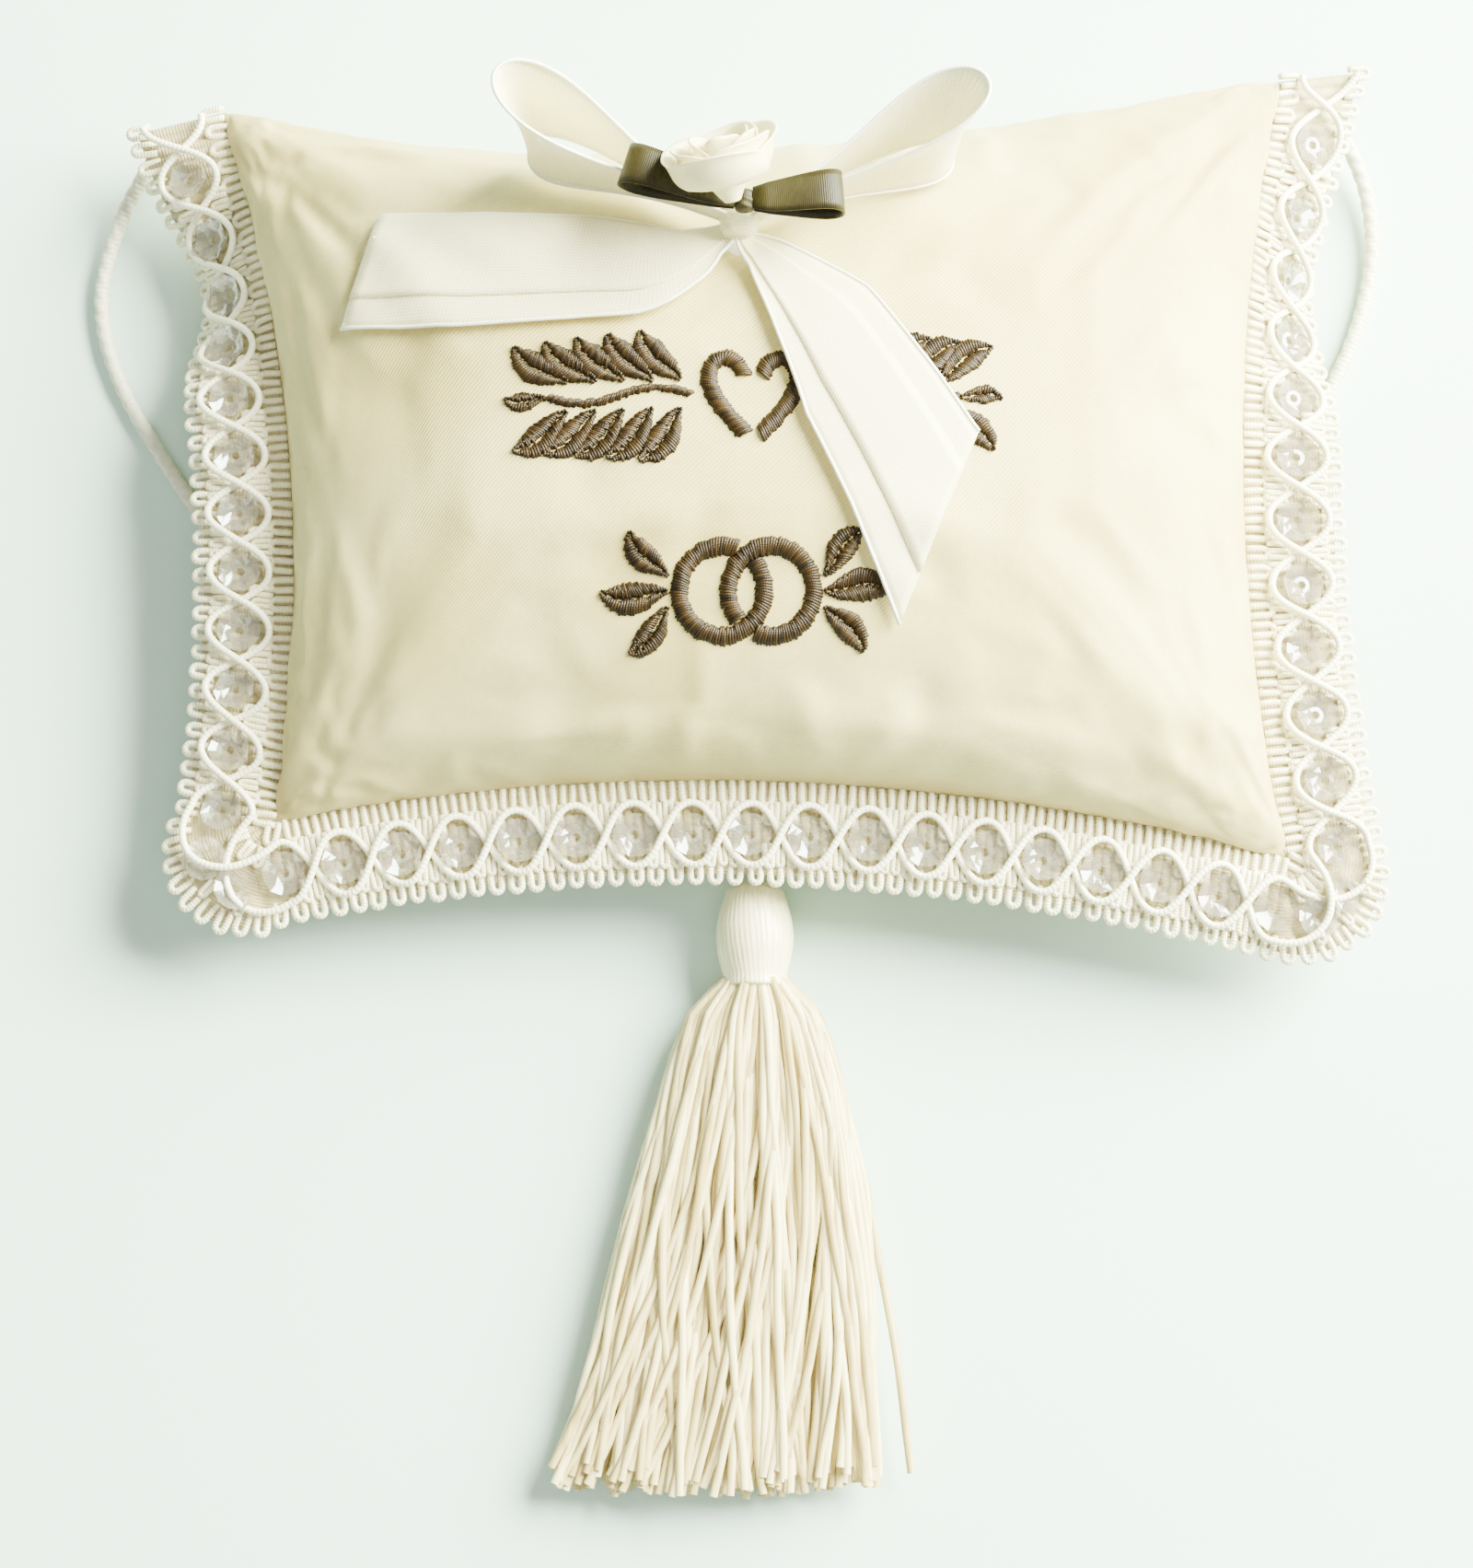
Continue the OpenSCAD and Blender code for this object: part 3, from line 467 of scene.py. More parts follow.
def sewn_row_tree():
    """Copies of one part along a guide line, turned to its out and up directions. A spacing of 0 keeps its points"""
    tree, given = new_tree("sewn_row", Object=["Part"], Float=["Spacing", "Uneven size", "Uneven turn"], Int=["Seed"])
    line, even = evenly(tree, given)
    spaced = put(tree, "FunctionNodeCompare", {0: given["Spacing"], 1: 0.0}, data_type="FLOAT")
    places = put(tree, "GeometryNodeSwitch", {0: spaced, 1: line, 2: even}, input_type="GEOMETRY")
    facing = put(tree, "FunctionNodeAxesToRotation",
                 {0: named(tree, "up", "FLOAT_VECTOR"), 1: named(tree, "out", "FLOAT_VECTOR")},
                 primary_axis="Z", secondary_axis="X")
    size = chance(tree, given, {2: maths(tree, "SUBTRACT", 1.0, given["Uneven size"]),
                                        3: maths(tree, "ADD", 1.0, given["Uneven size"])})
    back = maths(tree, "MULTIPLY", given["Uneven turn"], -1.0)
    low, high = (put(tree, "ShaderNodeCombineXYZ", {0: end, 1: end, 2: end}) for end in (back, given["Uneven turn"]))
    turn = chance(tree, given, {0: low, 1: high}, "FLOAT_VECTOR")
    laid = put(tree, "GeometryNodeObjectInfo", {0: given["Part"]})
    copies = put(tree, "GeometryNodeInstanceOnPoints",
                 {0: places, "Instance": laid.outputs["Geometry"], "Rotation": facing, "Scale": size.outputs[1]})
    turned = put(tree, "GeometryNodeRotateInstances", {0: copies, "Rotation": turn})
    tone = chance(tree, given).outputs[1]
    return hand_out(tree, stored(tree, turned, "tone", tone, domain="INSTANCE"), given)


LAID_THREADS = laid_thread_tree()
SEWN_ROW = sewn_row_tree()


def grow(name, guide, tree, sizes):
    """Run a tree on a guide and keep the result as a plain mesh"""
    modifier = guide.modifiers.new("make", "NODES")
    modifier.node_group = tree
    for item in tree.interface.items_tree:
        if item.in_out == "INPUT" and item.name in sizes:
            modifier[item.identifier] = sizes[item.name]
    mesh = bpy.data.meshes.new_from_object(guide.evaluated_get(bpy.context.evaluated_depsgraph_get()))
    mesh.name = name
    bpy.data.objects.remove(guide, do_unlink=True)
    return add_object(name, mesh)


def threads(name, lines, material, radius, spacing, wander, scale, sides=6, seed=1, flatness=1.0):
    return grow(name, guide_lines(lines), LAID_THREADS, {
        "Radius": radius * MM, "Flatness": flatness, "Spacing": spacing * MM, "Wander": wander * MM,
        "Wander scale": scale, "Sides": sides, "Seed": seed, "Material": material})


def sewn_row(name, guide, part, material, spacing, uneven, turn, seed):
    piece = grow(name, guide, SEWN_ROW, {
        "Part": part, "Spacing": spacing * MM, "Uneven size": uneven, "Uneven turn": turn, "Seed": seed,
        "Material": material})
    bpy.data.objects.remove(part, do_unlink=True)
    return piece


# ---- Camera ----

def aim(thing, at):
    thing.rotation_euler = (Vector(at) - thing.location).to_track_quat("-Z", "Y").to_euler()


lens = bpy.data.cameras.new("camera")
lens.sensor_fit = "VERTICAL"
lens.sensor_height = 36
lens.lens = 93.95
lens.clip_start = 0.01
camera = add_object("camera", lens)
camera.location = (-0.0034, -0.17185, 0.60189)
aim(camera, (-0.0034, -0.0471, 0.015))
bpy.context.scene.camera = camera


# ---- Hanging cord: sewn under both top corners, put away under the crowned back ----

CORD_D = 2.4
HANGER_ROUTE = [
    (-86.6, 57, 9.4), (-90, 55.3, 8.2), (-94.6, 50.5, 5.4), (-99, 42, 2.8), (-101, 31, 1.7), (-98, 19, 1.4),
    (-90, 5, 1.4), (-79, -11, 1.4), (-68, -27, 1.4), (-57, -39.5, 1.4), (-40, -44, 1.4), (-18, -44, 1.4),
    (4, -44, 1.4), (28, -45, 1.4), (50, -46.5, 1.4), (65, -38.5, 1.4), (72, -24, 1.4), (78, -6, 1.4),
    (84.5, 11, 1.4), (91.5, 26, 1.4), (94.5, 38, 1.6), (94, 48, 2.6), (91, 55.5, 5), (87.5, 60.3, 7.8),
    (84.6, 62.2, 9.4)]
cord_path = smooth_path(HANGER_ROUTE, 16)
cord = rope_piece("hanging_cord", [cord_path], CORD_D / 2, 16, CORD_RAYON, plies=3, groove=0.22, twist=7.5)
belongs(cord, "hanger", "twisted_cord", "hanger_cord")


# ---- The bag's shape. u is -1 at the left seam and 1 at the right, v is -1 at the bottom, 1 at the top ----

BAG_W, BAG_L, CROWN_H, SEAM_H = 155, 115, 42, 16.5
CORNER_DROP, SIDE_PINCH, TOP_PINCH, BOTTOM_PINCH, TOP_SKEW = 2.5, 6.2, 10.5, 8, 0.25
CORNERS = [Vector((-71, -52.5)), Vector((77, -58)), Vector((-81.5, 57.5)), Vector((79.5, 62.5))]


def bag_xy(u, v):
    flat = ((1 - u) * (1 - v) * CORNERS[0] + (1 + u) * (1 - v) * CORNERS[1]
            + (1 - u) * (1 + v) * CORNERS[2] + (1 + u) * (1 + v) * CORNERS[3]) / 4
    drawn = (BOTTOM_PINCH * (1 - v) - TOP_PINCH * (1 - TOP_SKEW * u) * (1 + v)) / 2
    return flat + Vector((-u * SIDE_PINCH * (1 - v * v), (1 - u * u) * drawn))


def seam_z(u, v):
    return SEAM_H - CORNER_DROP * u * u * v * v


def puff(u, v):
    return max(0.0, (1 - u * u) * (1 - v * v)) ** 0.42


def face_z(u, v):
    return seam_z(u, v) + (CROWN_H - SEAM_H) * puff(u, v)


def back_z(u, v):
    return max(0.0, seam_z(u, v) - 1.6 * SEAM_H * puff(u, v))


def uv_at(p):
    """The u and v of a point of the plan"""
    u = v = 0.0
    for _ in range(8):
        miss = p - bag_xy(u, v)
        u += miss.x * 2 / BAG_W
        v += miss.y * 2 / BAG_L
    return clamp(u, -0.995, 0.995), clamp(v, -0.995, 0.995)


def face_height(p):
    return face_z(*uv_at(p))


def spaced(n):
    return [math.sin(math.pi / 2 * (2 * i / n - 1)) for i in range(n + 1)]


# Soft folds of the face: where each starts and ends, half its width, and how deep it is; a minus sign raises it
FOLDS = [
    ((-77, 52), (-58, 30), 3.2, 1.6), ((-74, 55), (-52, 42), 3.6, 1.2), ((-66, 44), (-44, 38), 5.0, -1.0),
    ((72, 55), (54, 34), 3.4, 1.5), ((66, 58), (46, 44), 4.0, 1.1), ((60, 50), (38, 42), 5.0, -0.9),
    ((-66, -46), (-54, -36), 3.6, 0.8), ((-68, -38), (-50, -22), 5.0, 0.4), ((-52, -44), (-34, -38), 4.0, 0.5),
    ((70, -50), (58, -40), 3.6, 1.4), ((66, -54), (46, -44), 4.0, 1.0), ((70, -38), (58, -20), 5.0, 0.5),
    ((-3, 28), (-20, 44), 3.2, 1.3), ((-3, 28), (16, 45), 3.2, 1.3), ((-3, 29), (-2, 47), 2.8, 1.0),
    ((-3, 27), (-14, 12), 3.2, 0.45), ((-3, 27), (6, 14), 3.0, 0.45), ((-64, 8), (-50, 6), 4.0, 0.9),
    ((66, 6), (52, 2), 4.0, 1.0), ((-30, -46), (-26, -34), 4.2, 0.9), ((24, -47), (22, -34), 4.2, 0.9),
    ((-52, -43.5), (-6, -42), 3.4, -1.3), ((6, -42), (54, -45), 3.4, -1.3), ((-8, -12), (-10, -22), 2.4, 0.5),
    ((9, -13), (8, -23), 2.2, 0.5), ((-24, 1), (-26, -12), 3.0, 0.45)]


def fold_depth(p):
    depth = 0.0
    for start, end, half, deep in FOLDS:
        a, b = Vector(start), Vector(end)
        f = clamp((p - a).dot(b - a) / (b - a).length_squared, 0, 1)
        off = (p - a - (b - a) * f).length
        taper = math.sin(math.pi * clamp(0.12 + 0.88 * f, 0, 1)) ** 0.6
        depth += deep * math.exp(-(off / half) ** 2) * taper
    return depth


COLUMNS, ROWS = 104, 80
# The cloth over the stuffing is longer than its plan by this much
CLOTH_SPARE = 1.14


def sewn_bag():
    """Face and underside on one grid each, joined round the seam. The stuffing swells them from inside"""
    us, vs = spaced(COLUMNS), spaced(ROWS)
    points, rim, index = [], {}, [{}, {}]
    for layer in (0, 1):
        for i, u in enumerate(us):
            for j, v in enumerate(vs):
                edge = i in (0, COLUMNS) or j in (0, ROWS)
                if layer and edge:
                    index[1][i, j] = rim[i, j]
                    continue
                spot = bag_xy(u, v)
                if edge:
                    z = seam_z(u, v)
                    rim[i, j] = len(points)
                else:
                    z = face_z(u, v) if layer == 0 else back_z(u, v)
                index[layer][i, j] = len(points)
                points.append(Vector((spot.x, spot.y, z)))
    faces, places = [], []
    for layer, at in enumerate(index):
        for i in range(COLUMNS):
            for j in range(ROWS):
                corners = [(i, j), (i + 1, j), (i + 1, j + 1), (i, j + 1)]
                if layer:
                    corners.reverse()
                faces.append(tuple(at[c] for c in corners))
                places += [(CLOTH_SPARE * BAG_W * math.asin(us[a]) / math.pi,
                            CLOTH_SPARE * BAG_L * math.asin(vs[b]) / math.pi) for a, b in corners]
    bag = new_piece("satin_bag", points, faces, PANEL_SATIN, closed=False)
    layer = bag.data.uv_layers["UVMap"]
    for loop, place in zip(bag.data.loops, places):
        layer.data[loop.index].uv = place
    return bag, set(rim.values())


SWELL_STEPS = 20


def swell(bag, pinned):
    """Cloth simulation: a little spare cloth is blown out by the stuffing, and puckers along its sewn edge"""
    start = [v.co.copy() for v in bag.data.vertices]
    group = bag.vertex_groups.new(name="seam")
    group.add(list(pinned), 1.0, "REPLACE")
    cloth = bag.modifiers.new("stuffing", "CLOTH")
    settings = {"quality": 6, "mass": 0.2, "tension_stiffness": 12, "compression_stiffness": 12,
                "shear_stiffness": 4, "bending_stiffness": 0.02, "shrink_min": -0.035, "use_pressure": True,
                "uniform_pressure_force": 4.0, "vertex_group_mass": "seam"}
    for key, value in settings.items():
        setattr(cloth.settings, key, value)
    cloth.settings.effector_weights.gravity = 0.0
    cloth.collision_settings.use_collision = False
    cloth.point_cache.frame_start = 1
    cloth.point_cache.frame_end = SWELL_STEPS
    scene = bpy.context.scene
    for step in range(1, SWELL_STEPS + 1):
        scene.frame_set(step)
    evaluated = bag.evaluated_get(bpy.context.evaluated_depsgraph_get())
    moved = [v.co.copy() for v in evaluated.data.vertices]
    bag.modifiers.remove(cloth)
    scene.frame_set(1)
    return start, moved


def puckers(mesh, start, moved, pinned):
    """What is left of a move when its broad part is taken away: only the wrinkles of the cloth"""
    near = [[] for _ in start]
    for edge in mesh.edges:
        a, b = edge.vertices
        near[a].append(b)
        near[b].append(a)
    move = [b - a for a, b in zip(start, moved)]
    broad = list(move)
    for _ in range(14):
        broad = [Vector() if k in pinned else sum((broad[n] for n in near[k]), broad[k] * 2) / (len(near[k]) + 2)
                 for k in range(len(broad))]
    return [m - b for m, b in zip(move, broad)]


def stuffed_bag():
    bag, seam = sewn_bag()
    start, moved = swell(bag, seam)
    normals = [v.normal.copy() for v in bag.data.vertices]
    for vertex, a, shift, out in zip(bag.data.vertices, start, puckers(bag.data, start, moved, seam), normals):
        depth = clamp(shift.dot(out), -0.5 * MM, 0.9 * MM)
        vertex.co = a + out * depth
    # Folds are pressed into the face, and the underside lies on what it rests on
    for k, vertex in enumerate(bag.data.vertices):
        p = vertex.co / MM
        if k not in seam and p.z > SEAM_H:
            vertex.co.z -= fold_depth(Vector((p.x, p.y))) * MM * clamp((p.z - SEAM_H) / 8, 0, 1)
        vertex.co.z = max(vertex.co.z, 0.0)
    finer = bag.modifiers.new("finer", "SUBSURF")
    finer.levels = finer.render_levels = 1
    finer.uv_smooth = "PRESERVE_BOUNDARIES"
    mesh = bpy.data.meshes.new_from_object(bag.evaluated_get(bpy.context.evaluated_depsgraph_get()))
    bag.modifiers.clear()
    bag.data = mesh
    bag.vertex_groups.clear()
    for vertex in mesh.vertices:
        vertex.co.z = max(vertex.co.z, 0.0)
    return bag


bag = stuffed_bag()
belongs(bag, "pillow", "panel_satin", "front_panel", "back_panel")
bag_surface = BVHTree.FromPolygons([v.co for v in bag.data.vertices], [tuple(p.vertices) for p in bag.data.polygons])


def on_face(p, lift=0.0):
    """The point of the swollen face above a point of the plan"""
    hit = bag_surface.ray_cast(Vector((p[0] * MM, p[1] * MM, 0.1)), -UP)[0]
    return Vector((p[0], p[1], (hit.z / MM if hit else face_height(Vector(p[:2]))) + lift))


# ---- Stitched motifs: satin stitch in brown thread, a heart between branches, and rings between leaves ----

GARLAND_W, LEAF_L, LEAF_W, RING_D, STROKE_W = 69, 9.4, 4.4, 14.5, 2.3
STITCH_PITCH = 0.36
dice = random.Random(7)


def resample(path, spacing):
    total = path_length(path)
    count = max(2, round(total / spacing))
    result, i, run = [], 0, 0.0
    for k in range(count + 1):
        target = total * k / count
        while i < len(path) - 2 and run + (path[i + 1] - path[i]).length < target:
            run += (path[i + 1] - path[i]).length
            i += 1
        step = (path[i + 1] - path[i]).length
        result.append(path[i].lerp(path[i + 1], clamp((target - run) / max(step, 1e-6), 0, 1)))
    return result


def stitch(a, b, padding):
    """One stitch from a to b over padding, a little ragged at both ends"""
    ragged = (b - a).normalized() * 0.22
    a = a - ragged * dice.uniform(-0.6, 1)
    b = b + ragged * dice.uniform(-0.6, 1)
    points = []
    for f in (0, 0.08, 0.3, 0.5, 0.7, 0.92, 1):
        high = -0.25 if f in (0, 1) else 0.12 + padding * math.sin(math.pi * f) ** 0.7
        points.append(on_face(a.lerp(b, f), high))
    return points


def stitched_band(path, widths, slant=0.35, padding=0.42):
    lines = []
    fine = resample(path, STITCH_PITCH)
    for i, p in enumerate(fine):
        t = heading(fine, i)
        half = along(widths, i / (len(fine) - 1)) / 2
        reach = left_of(t) * half + t * slant * half
        lines.append(stitch(p - reach, p + reach, padding))
    return lines


def leaf(p, angle, scale=1.0):
    """A leaf in two halves that meet along its vein"""
    steps = 14
    spine = [p + polar(LEAF_L * scale * i / steps, angle + 10 * math.sin(math.pi * i / steps))
             for i in range(steps + 1)]
    fine = resample(spine, STITCH_PITCH)
    lines = []
    for i, q in enumerate(fine):
        f = i / (len(fine) - 1)
        t = heading(fine, i)
        half = LEAF_W * scale * (0.1 + 0.9 * math.sin(math.pi * f) ** 0.8) / 2
        for side in (-1, 1):
            tip = q + left_of(t) * side * half + t * half * 0.55 * (1 - f)
            lines.append(stitch(q + left_of(t) * side * 0.16, tip, 0.34))
    return lines


def half_heart(p, size, side):
    outline = [(0.1, 0.2), (0.16, 0.32), (0.3, 0.38), (0.42, 0.3), (0.45, 0.12), (0.34, -0.12), (0.16, -0.34),
               (0.08, -0.42)]
    path = [p + size * Vector((side * x, y)) for x, y in outline]
    return stitched_band(smooth_path(path, 4), [size * 0.16] * 2)


def arc_band(centre, r, start, end, width):
    steps = max(8, math.ceil((end - start) / 10))
    path = [centre + polar(r, mix(start, end, i / steps)) for i in range(steps + 1)]
    return stitched_band(path, [width] * 2, 0.15)


def upper_motif(centre):
    lines = []
    for side in (-1, 1):
        lines += half_heart(centre, 14, side)
        start, end = 9, GARLAND_W / 2 - LEAF_L * 0.55
        stem = [centre + Vector((side * mix(start, end, i / 8), 1.1 * math.sin(2 * math.pi * i / 8)))
                for i in range(9)]
        lines += stitched_band(stem, [STROKE_W * 0.45] * 2, 0.8, 0.3)
        for i in range(5):
            for way in (-1, 1):
                root = centre + Vector((side * mix(start, end, (i + 0.35) / 5), way * (1.1 + STROKE_W * 0.45)))
                lean = 52 - 4 * i
                lines += leaf(root, way * lean if side > 0 else 180 - way * lean)
        lines += leaf(centre + Vector((side * (end + 0.6), 0)), 0 if side > 0 else 180, 0.6)
    return lines


def lower_motif(centre):
    r = (RING_D - STROKE_W) / 2
    apart = r * 1.15
    cross = math.degrees(math.acos(apart / 2 / r))
    under = (STROKE_W / 2 + 0.2) / r * 57.3 * 1.2
    lines = arc_band(centre - Vector((apart / 2, 0)), r, cross + under, 360 + cross - under, STROKE_W)
    lines += arc_band(centre + Vector((apart / 2, 0)), r, cross + under - 180, 180 + cross - under, STROKE_W)
    for side in (-1, 1):
        x = apart / 2 + r + STROKE_W / 2 + 0.5
        lines += leaf(centre + Vector((side * x, 0)), 0 if side > 0 else 180)
        for way in (-1, 1):
            lines += leaf(centre + Vector((side * x, way * 2.2)), way * 48 if side > 0 else 180 - way * 48, 0.85)
    return lines


for name, lines in (("embroidery_upper", upper_motif(Vector((-1, 4.2)))),
                    ("embroidery_lower", lower_motif(Vector((-2, -24))))):
    motif = threads(name + "_stitches", lines, BROWN_THREAD, 0.26, 0.7, 0.12, 500, 6, 3)
    belongs(motif, "pillow", "brown_thread", name)


# ---- Braid: q counts the ovals between the scroll cords, down the left, along the bottom, up the right ----

BRAID_W, PICOT_L, PICOT_T, SCROLL_D, SEQUIN_D, SIDE_ROLL = 14, 3.3, 1.1, 1.2, 6.4, 40
SIDE_OVALS, BOTTOM_OVALS = 12, 17
OVALS = 2 * SIDE_OVALS + BOTTOM_OVALS + 2
BRAID_IN = 0.8
BRAID_OUT = BRAID_IN + BRAID_W
BRAID_MID = (BRAID_IN + BRAID_OUT) / 2
FLARE = 0.22


def braid_station(q):
    """Seam point, outward angle, tilt and flare of the braid at q"""
    if q <= SIDE_OVALS:
        v = 1 - 2 * q / SIDE_OVALS
        return -1, v, 180 + 12 * v, 6 + SIDE_ROLL * bump(v, 0.55, 0.42), 0
    q -= SIDE_OVALS
    if q <= 1:
        return -1, -1, mix(168, 282, q), 6, FLARE * 1.3 * math.sin(math.pi * q)
    q -= 1
    if q <= BOTTOM_OVALS:
        u = 2 * q / BOTTOM_OVALS - 1
        return u, -1, 270 - 12 * u, 6, 0
    q -= BOTTOM_OVALS
    if q <= 1:
        return 1, -1, mix(258, 372, q), 6, FLARE * 0.5 * math.sin(math.pi * q)
    v = 2 * (q - 1) / SIDE_OVALS - 1
    return 1, v, 360 - 12 * v + 24 * bump(v, 1, 0.4), 6 + SIDE_ROLL * bump(v, 0.55, 0.6), 0


def braid_frame(q):
    """Where the seam is, which way the braid runs out from it, and which way its face looks"""
    u, v, angle, tilt, flare = braid_station(clamp(q, 0, OVALS))
    a, t = math.radians(angle), math.radians(tilt)
    out = Vector((math.cos(t) * math.cos(a), math.cos(t) * math.sin(a), -math.sin(t)))
    up = Vector((math.sin(t) * math.cos(a), math.sin(t) * math.sin(a), math.cos(t)))
    spot = bag_xy(u, v)
    return Vector((spot.x, spot.y, seam_z(u, v))), out, up, flare


def braid_point(q, r, h):
    seam, out, up, flare = braid_frame(q)
    return seam + out * r * (1 + flare) + up * h


def braid_guide(places, h):
    """A guide line through places on the braid: each a q and how far out it is, all h above the tape"""
    frames = [braid_frame(q) for q, r in places]
    return guide_lines([[braid_point(q, r, h) for q, r in places]], [f[1] for f in frames], [f[2] for f in frames])


def quarters(start, end, per_oval):
    return [start + i / per_oval for i in range(round((end - start) * per_oval) + 1)]


def braid_tape():
    """The woven ground, with a rib for each weft thread"""
    rows, ribs = [], 6
    for q in quarters(0, OVALS, ribs * 5):
        rise = 0.5 * abs(math.sin(math.pi * q * ribs)) ** 0.8
        rows.append([braid_point(q, mix(-0.5, BRAID_OUT - 1.3, k / 4), rise - 0.65) for k in range(5)])
    return ribbon_piece("braid_ground", rows, GROUND, 0.6)


def gimp_loop(length, width, thick):
    """One loop of gimp: out across the edge, round and back, standing a little proud in its middle"""
    path = []
    for f in (-1.0, -0.45, 0.1, 0.55):
        path.append(Vector((f * length / 2, -width / 2, 0.12 * (1 - f * f))))
    for k in range(1, 6):
        turn = polar(width / 2, -90 + 30 * k)
        path.append(Vector((0.55 * length / 2 + turn.x * 1.1, turn.y, 0.05)))
    path += [Vector((p.x, -p.y, p.z)) for p in reversed(path[:4])]
    return rope_piece("gimp_loop", [path], thick / 2, 6, GIMP)


def cup_sequin(across, hole, depth):
    """A faceted cup with a hole in its middle: flat floor, then a wall of facets up to a level rim"""
    sides, points, faces = 12, [], []
    profile = [(hole / 2, 0.12, 0), (across * 0.2, 0.05, 0), (across * 0.34, depth * 0.45, 0.16),
               (across / 2, depth, 0.3)]
    wall = profile + [(r, z - 0.16, zigzag) for r, z, zigzag in reversed(profile)]
    for r, z, zigzag in wall:
        points += [Vector((*polar(r, 360 * (k + 0.5) / sides), z + zigzag * (-1) ** k)) for k in range(sides)]
    count = len(wall)
    for i in range(count):
        for k in range(sides):
            n, m = (i + 1) % count, (k + 1) % sides
            faces.append((i * sides + k, i * sides + m, n * sides + m, n * sides + k))
    return new_piece("cup", points, faces, SEQUIN_FILM, smooth=False)


def scroll_lines(way):
    """A cord that swings across the tape and passes over or under its partner in turn"""
    swing = BRAID_W / 2 - 2 * SCROLL_D
    line = []
    for q in quarters(0, OVALS, 14):
        side = math.cos(math.pi * q)
        line.append(braid_point(q, BRAID_MID + way * swing * side * (1.14 - 0.14 * side ** 2),
                                0.95 + SCROLL_D * 0.5 * (1 + way * math.sin(math.pi * q))))
    return [line]


belongs(braid_tape(), "pillow", "tape_weave", "braid_tape")
# Three bars of gimp each side of every crossing of the scroll cords, and picots along both edges
BARS = [n + 0.5 + step for n in range(1, OVALS - 1) for step in (-0.2, 0, 0.2)]
EDGE = quarters(0, OVALS, 6)
BAR_OUT, BAR, PICOT = 3.1, (3.4, 0.9, PICOT_T * 0.8), (PICOT_L, 1.5, PICOT_T * 0.92)
# How far apart the loops lie, and how uneven their size and turn are
BAR_SPREAD, PICOT_SPREAD = (0.0, 0.12, 0.1), (2.9, 0.06, 0.09)
for name, node, slot, qs, r, h, loop, spread, seed in (
        ("inner_crossing_bars", "braid_tape", "tape_weave", BARS, BRAID_MID - BAR_OUT, 0.35, BAR, BAR_SPREAD, 7),
        ("outer_crossing_bars", "braid_tape", "tape_weave", BARS, BRAID_MID + BAR_OUT, 0.35, BAR, BAR_SPREAD, 8),
        ("inner_picot_loops", "braid_inner_picots", "picot_gimp", EDGE, BRAID_IN + PICOT_L / 2 - 0.9, 0.1, PICOT,
         PICOT_SPREAD, 4),
        ("outer_picot_loops", "braid_outer_picots", "picot_gimp", EDGE, BRAID_OUT - PICOT_L / 2, -0.1, PICOT,
         PICOT_SPREAD, 5)):
    row = sewn_row(name, braid_guide([(q, r) for q in qs], h), gimp_loop(*loop), GIMP, *spread, seed)
    belongs(row, "pillow", slot, node)
# One sequin in each oval, and two more round each bottom corner
corners = [SIDE_OVALS + q for q in (0.36, 0.64, BOTTOM_OVALS + 1.36, BOTTOM_OVALS + 1.64)]
stations = [(q, BRAID_MID) for q in quarters(1, OVALS - 1, 1)] + [(q, BRAID_MID + 1.2) for q in corners]
sequins = sewn_row("cup_sequins", braid_guide(stations, 0.75), cup_sequin(SEQUIN_D, 1.3, 1.1), SEQUIN_FILM,
                   0.0, 0.03, 0.16, 6)
belongs(sequins, "pillow", "clear_sequin", "braid_sequins")
for name, node, way, seed in (("scroll_cord_over", "scroll_cord_a", 1, 1),
                              ("scroll_cord_under", "scroll_cord_b", -1, 2)):
    scroll = threads(name, scroll_lines(way), SCROLL, SCROLL_D * 0.45, 0.6, 0.7, 110, 8, seed)
    belongs(scroll, "pillow", "scroll_cord", node)


# ---- Sheer bow ----

SHEER_W, SHEER_T, LOOP_L, LOOP_OPEN, KNOT_R, KNOT_L = 21, 0.12, 34, 8, 3, 5.2
KNOT_XY = Vector((-3, 30.5))
KNOT_Z = face_height(KNOT_XY) + 0.8 + KNOT_R
KNOT = Vector((KNOT_XY.x, KNOT_XY.y, KNOT_Z))


def loop_rows(angle, steps=48, across=9):
    """A standing loop of ribbon that leaves the knot, runs out to its length and comes back"""
    out = polar(1, angle)
    side = left_of(out)
    start = KNOT_R * 0.6
    path = []
    for i in range(steps + 1):
        f = i / steps
        wave = LOOP_OPEN / 1.54 * math.sin(2 * math.pi * f) * math.sin(math.pi * f) + 0.7 * math.cos(math.pi * f)
        path.append(KNOT_XY + out * (start + (LOOP_L - start) * math.sin(math.pi * f) ** 0.8) + side * wave)
    rows = []
    for i, p in enumerate(path):
        off = side * (p - KNOT_XY).dot(side)
        swell = math.sin(math.pi * i / steps) ** 0.7
        width = mix(3.4, SHEER_W, swell ** 1.9)
        low = max(face_height(p) + 1.6, mix(KNOT_Z - 1, 33, swell))
        lean = out * 0.24 * width * math.sin(math.pi * i / steps) ** 3
        row = []
        for j in range(across):
            g = j / (across - 1)
            spot = p + lean * g - left_of(heading(path, i)) * 0.9 * math.sin(math.pi * g) * swell
            spot += off * swell * (mix(-0.6, 0.12, g) if off.y > 0 else mix(0.12, 0, g))
            row.append(Vector((spot.x, spot.y, low + width * g)))
        rows.append(row)
    return rows


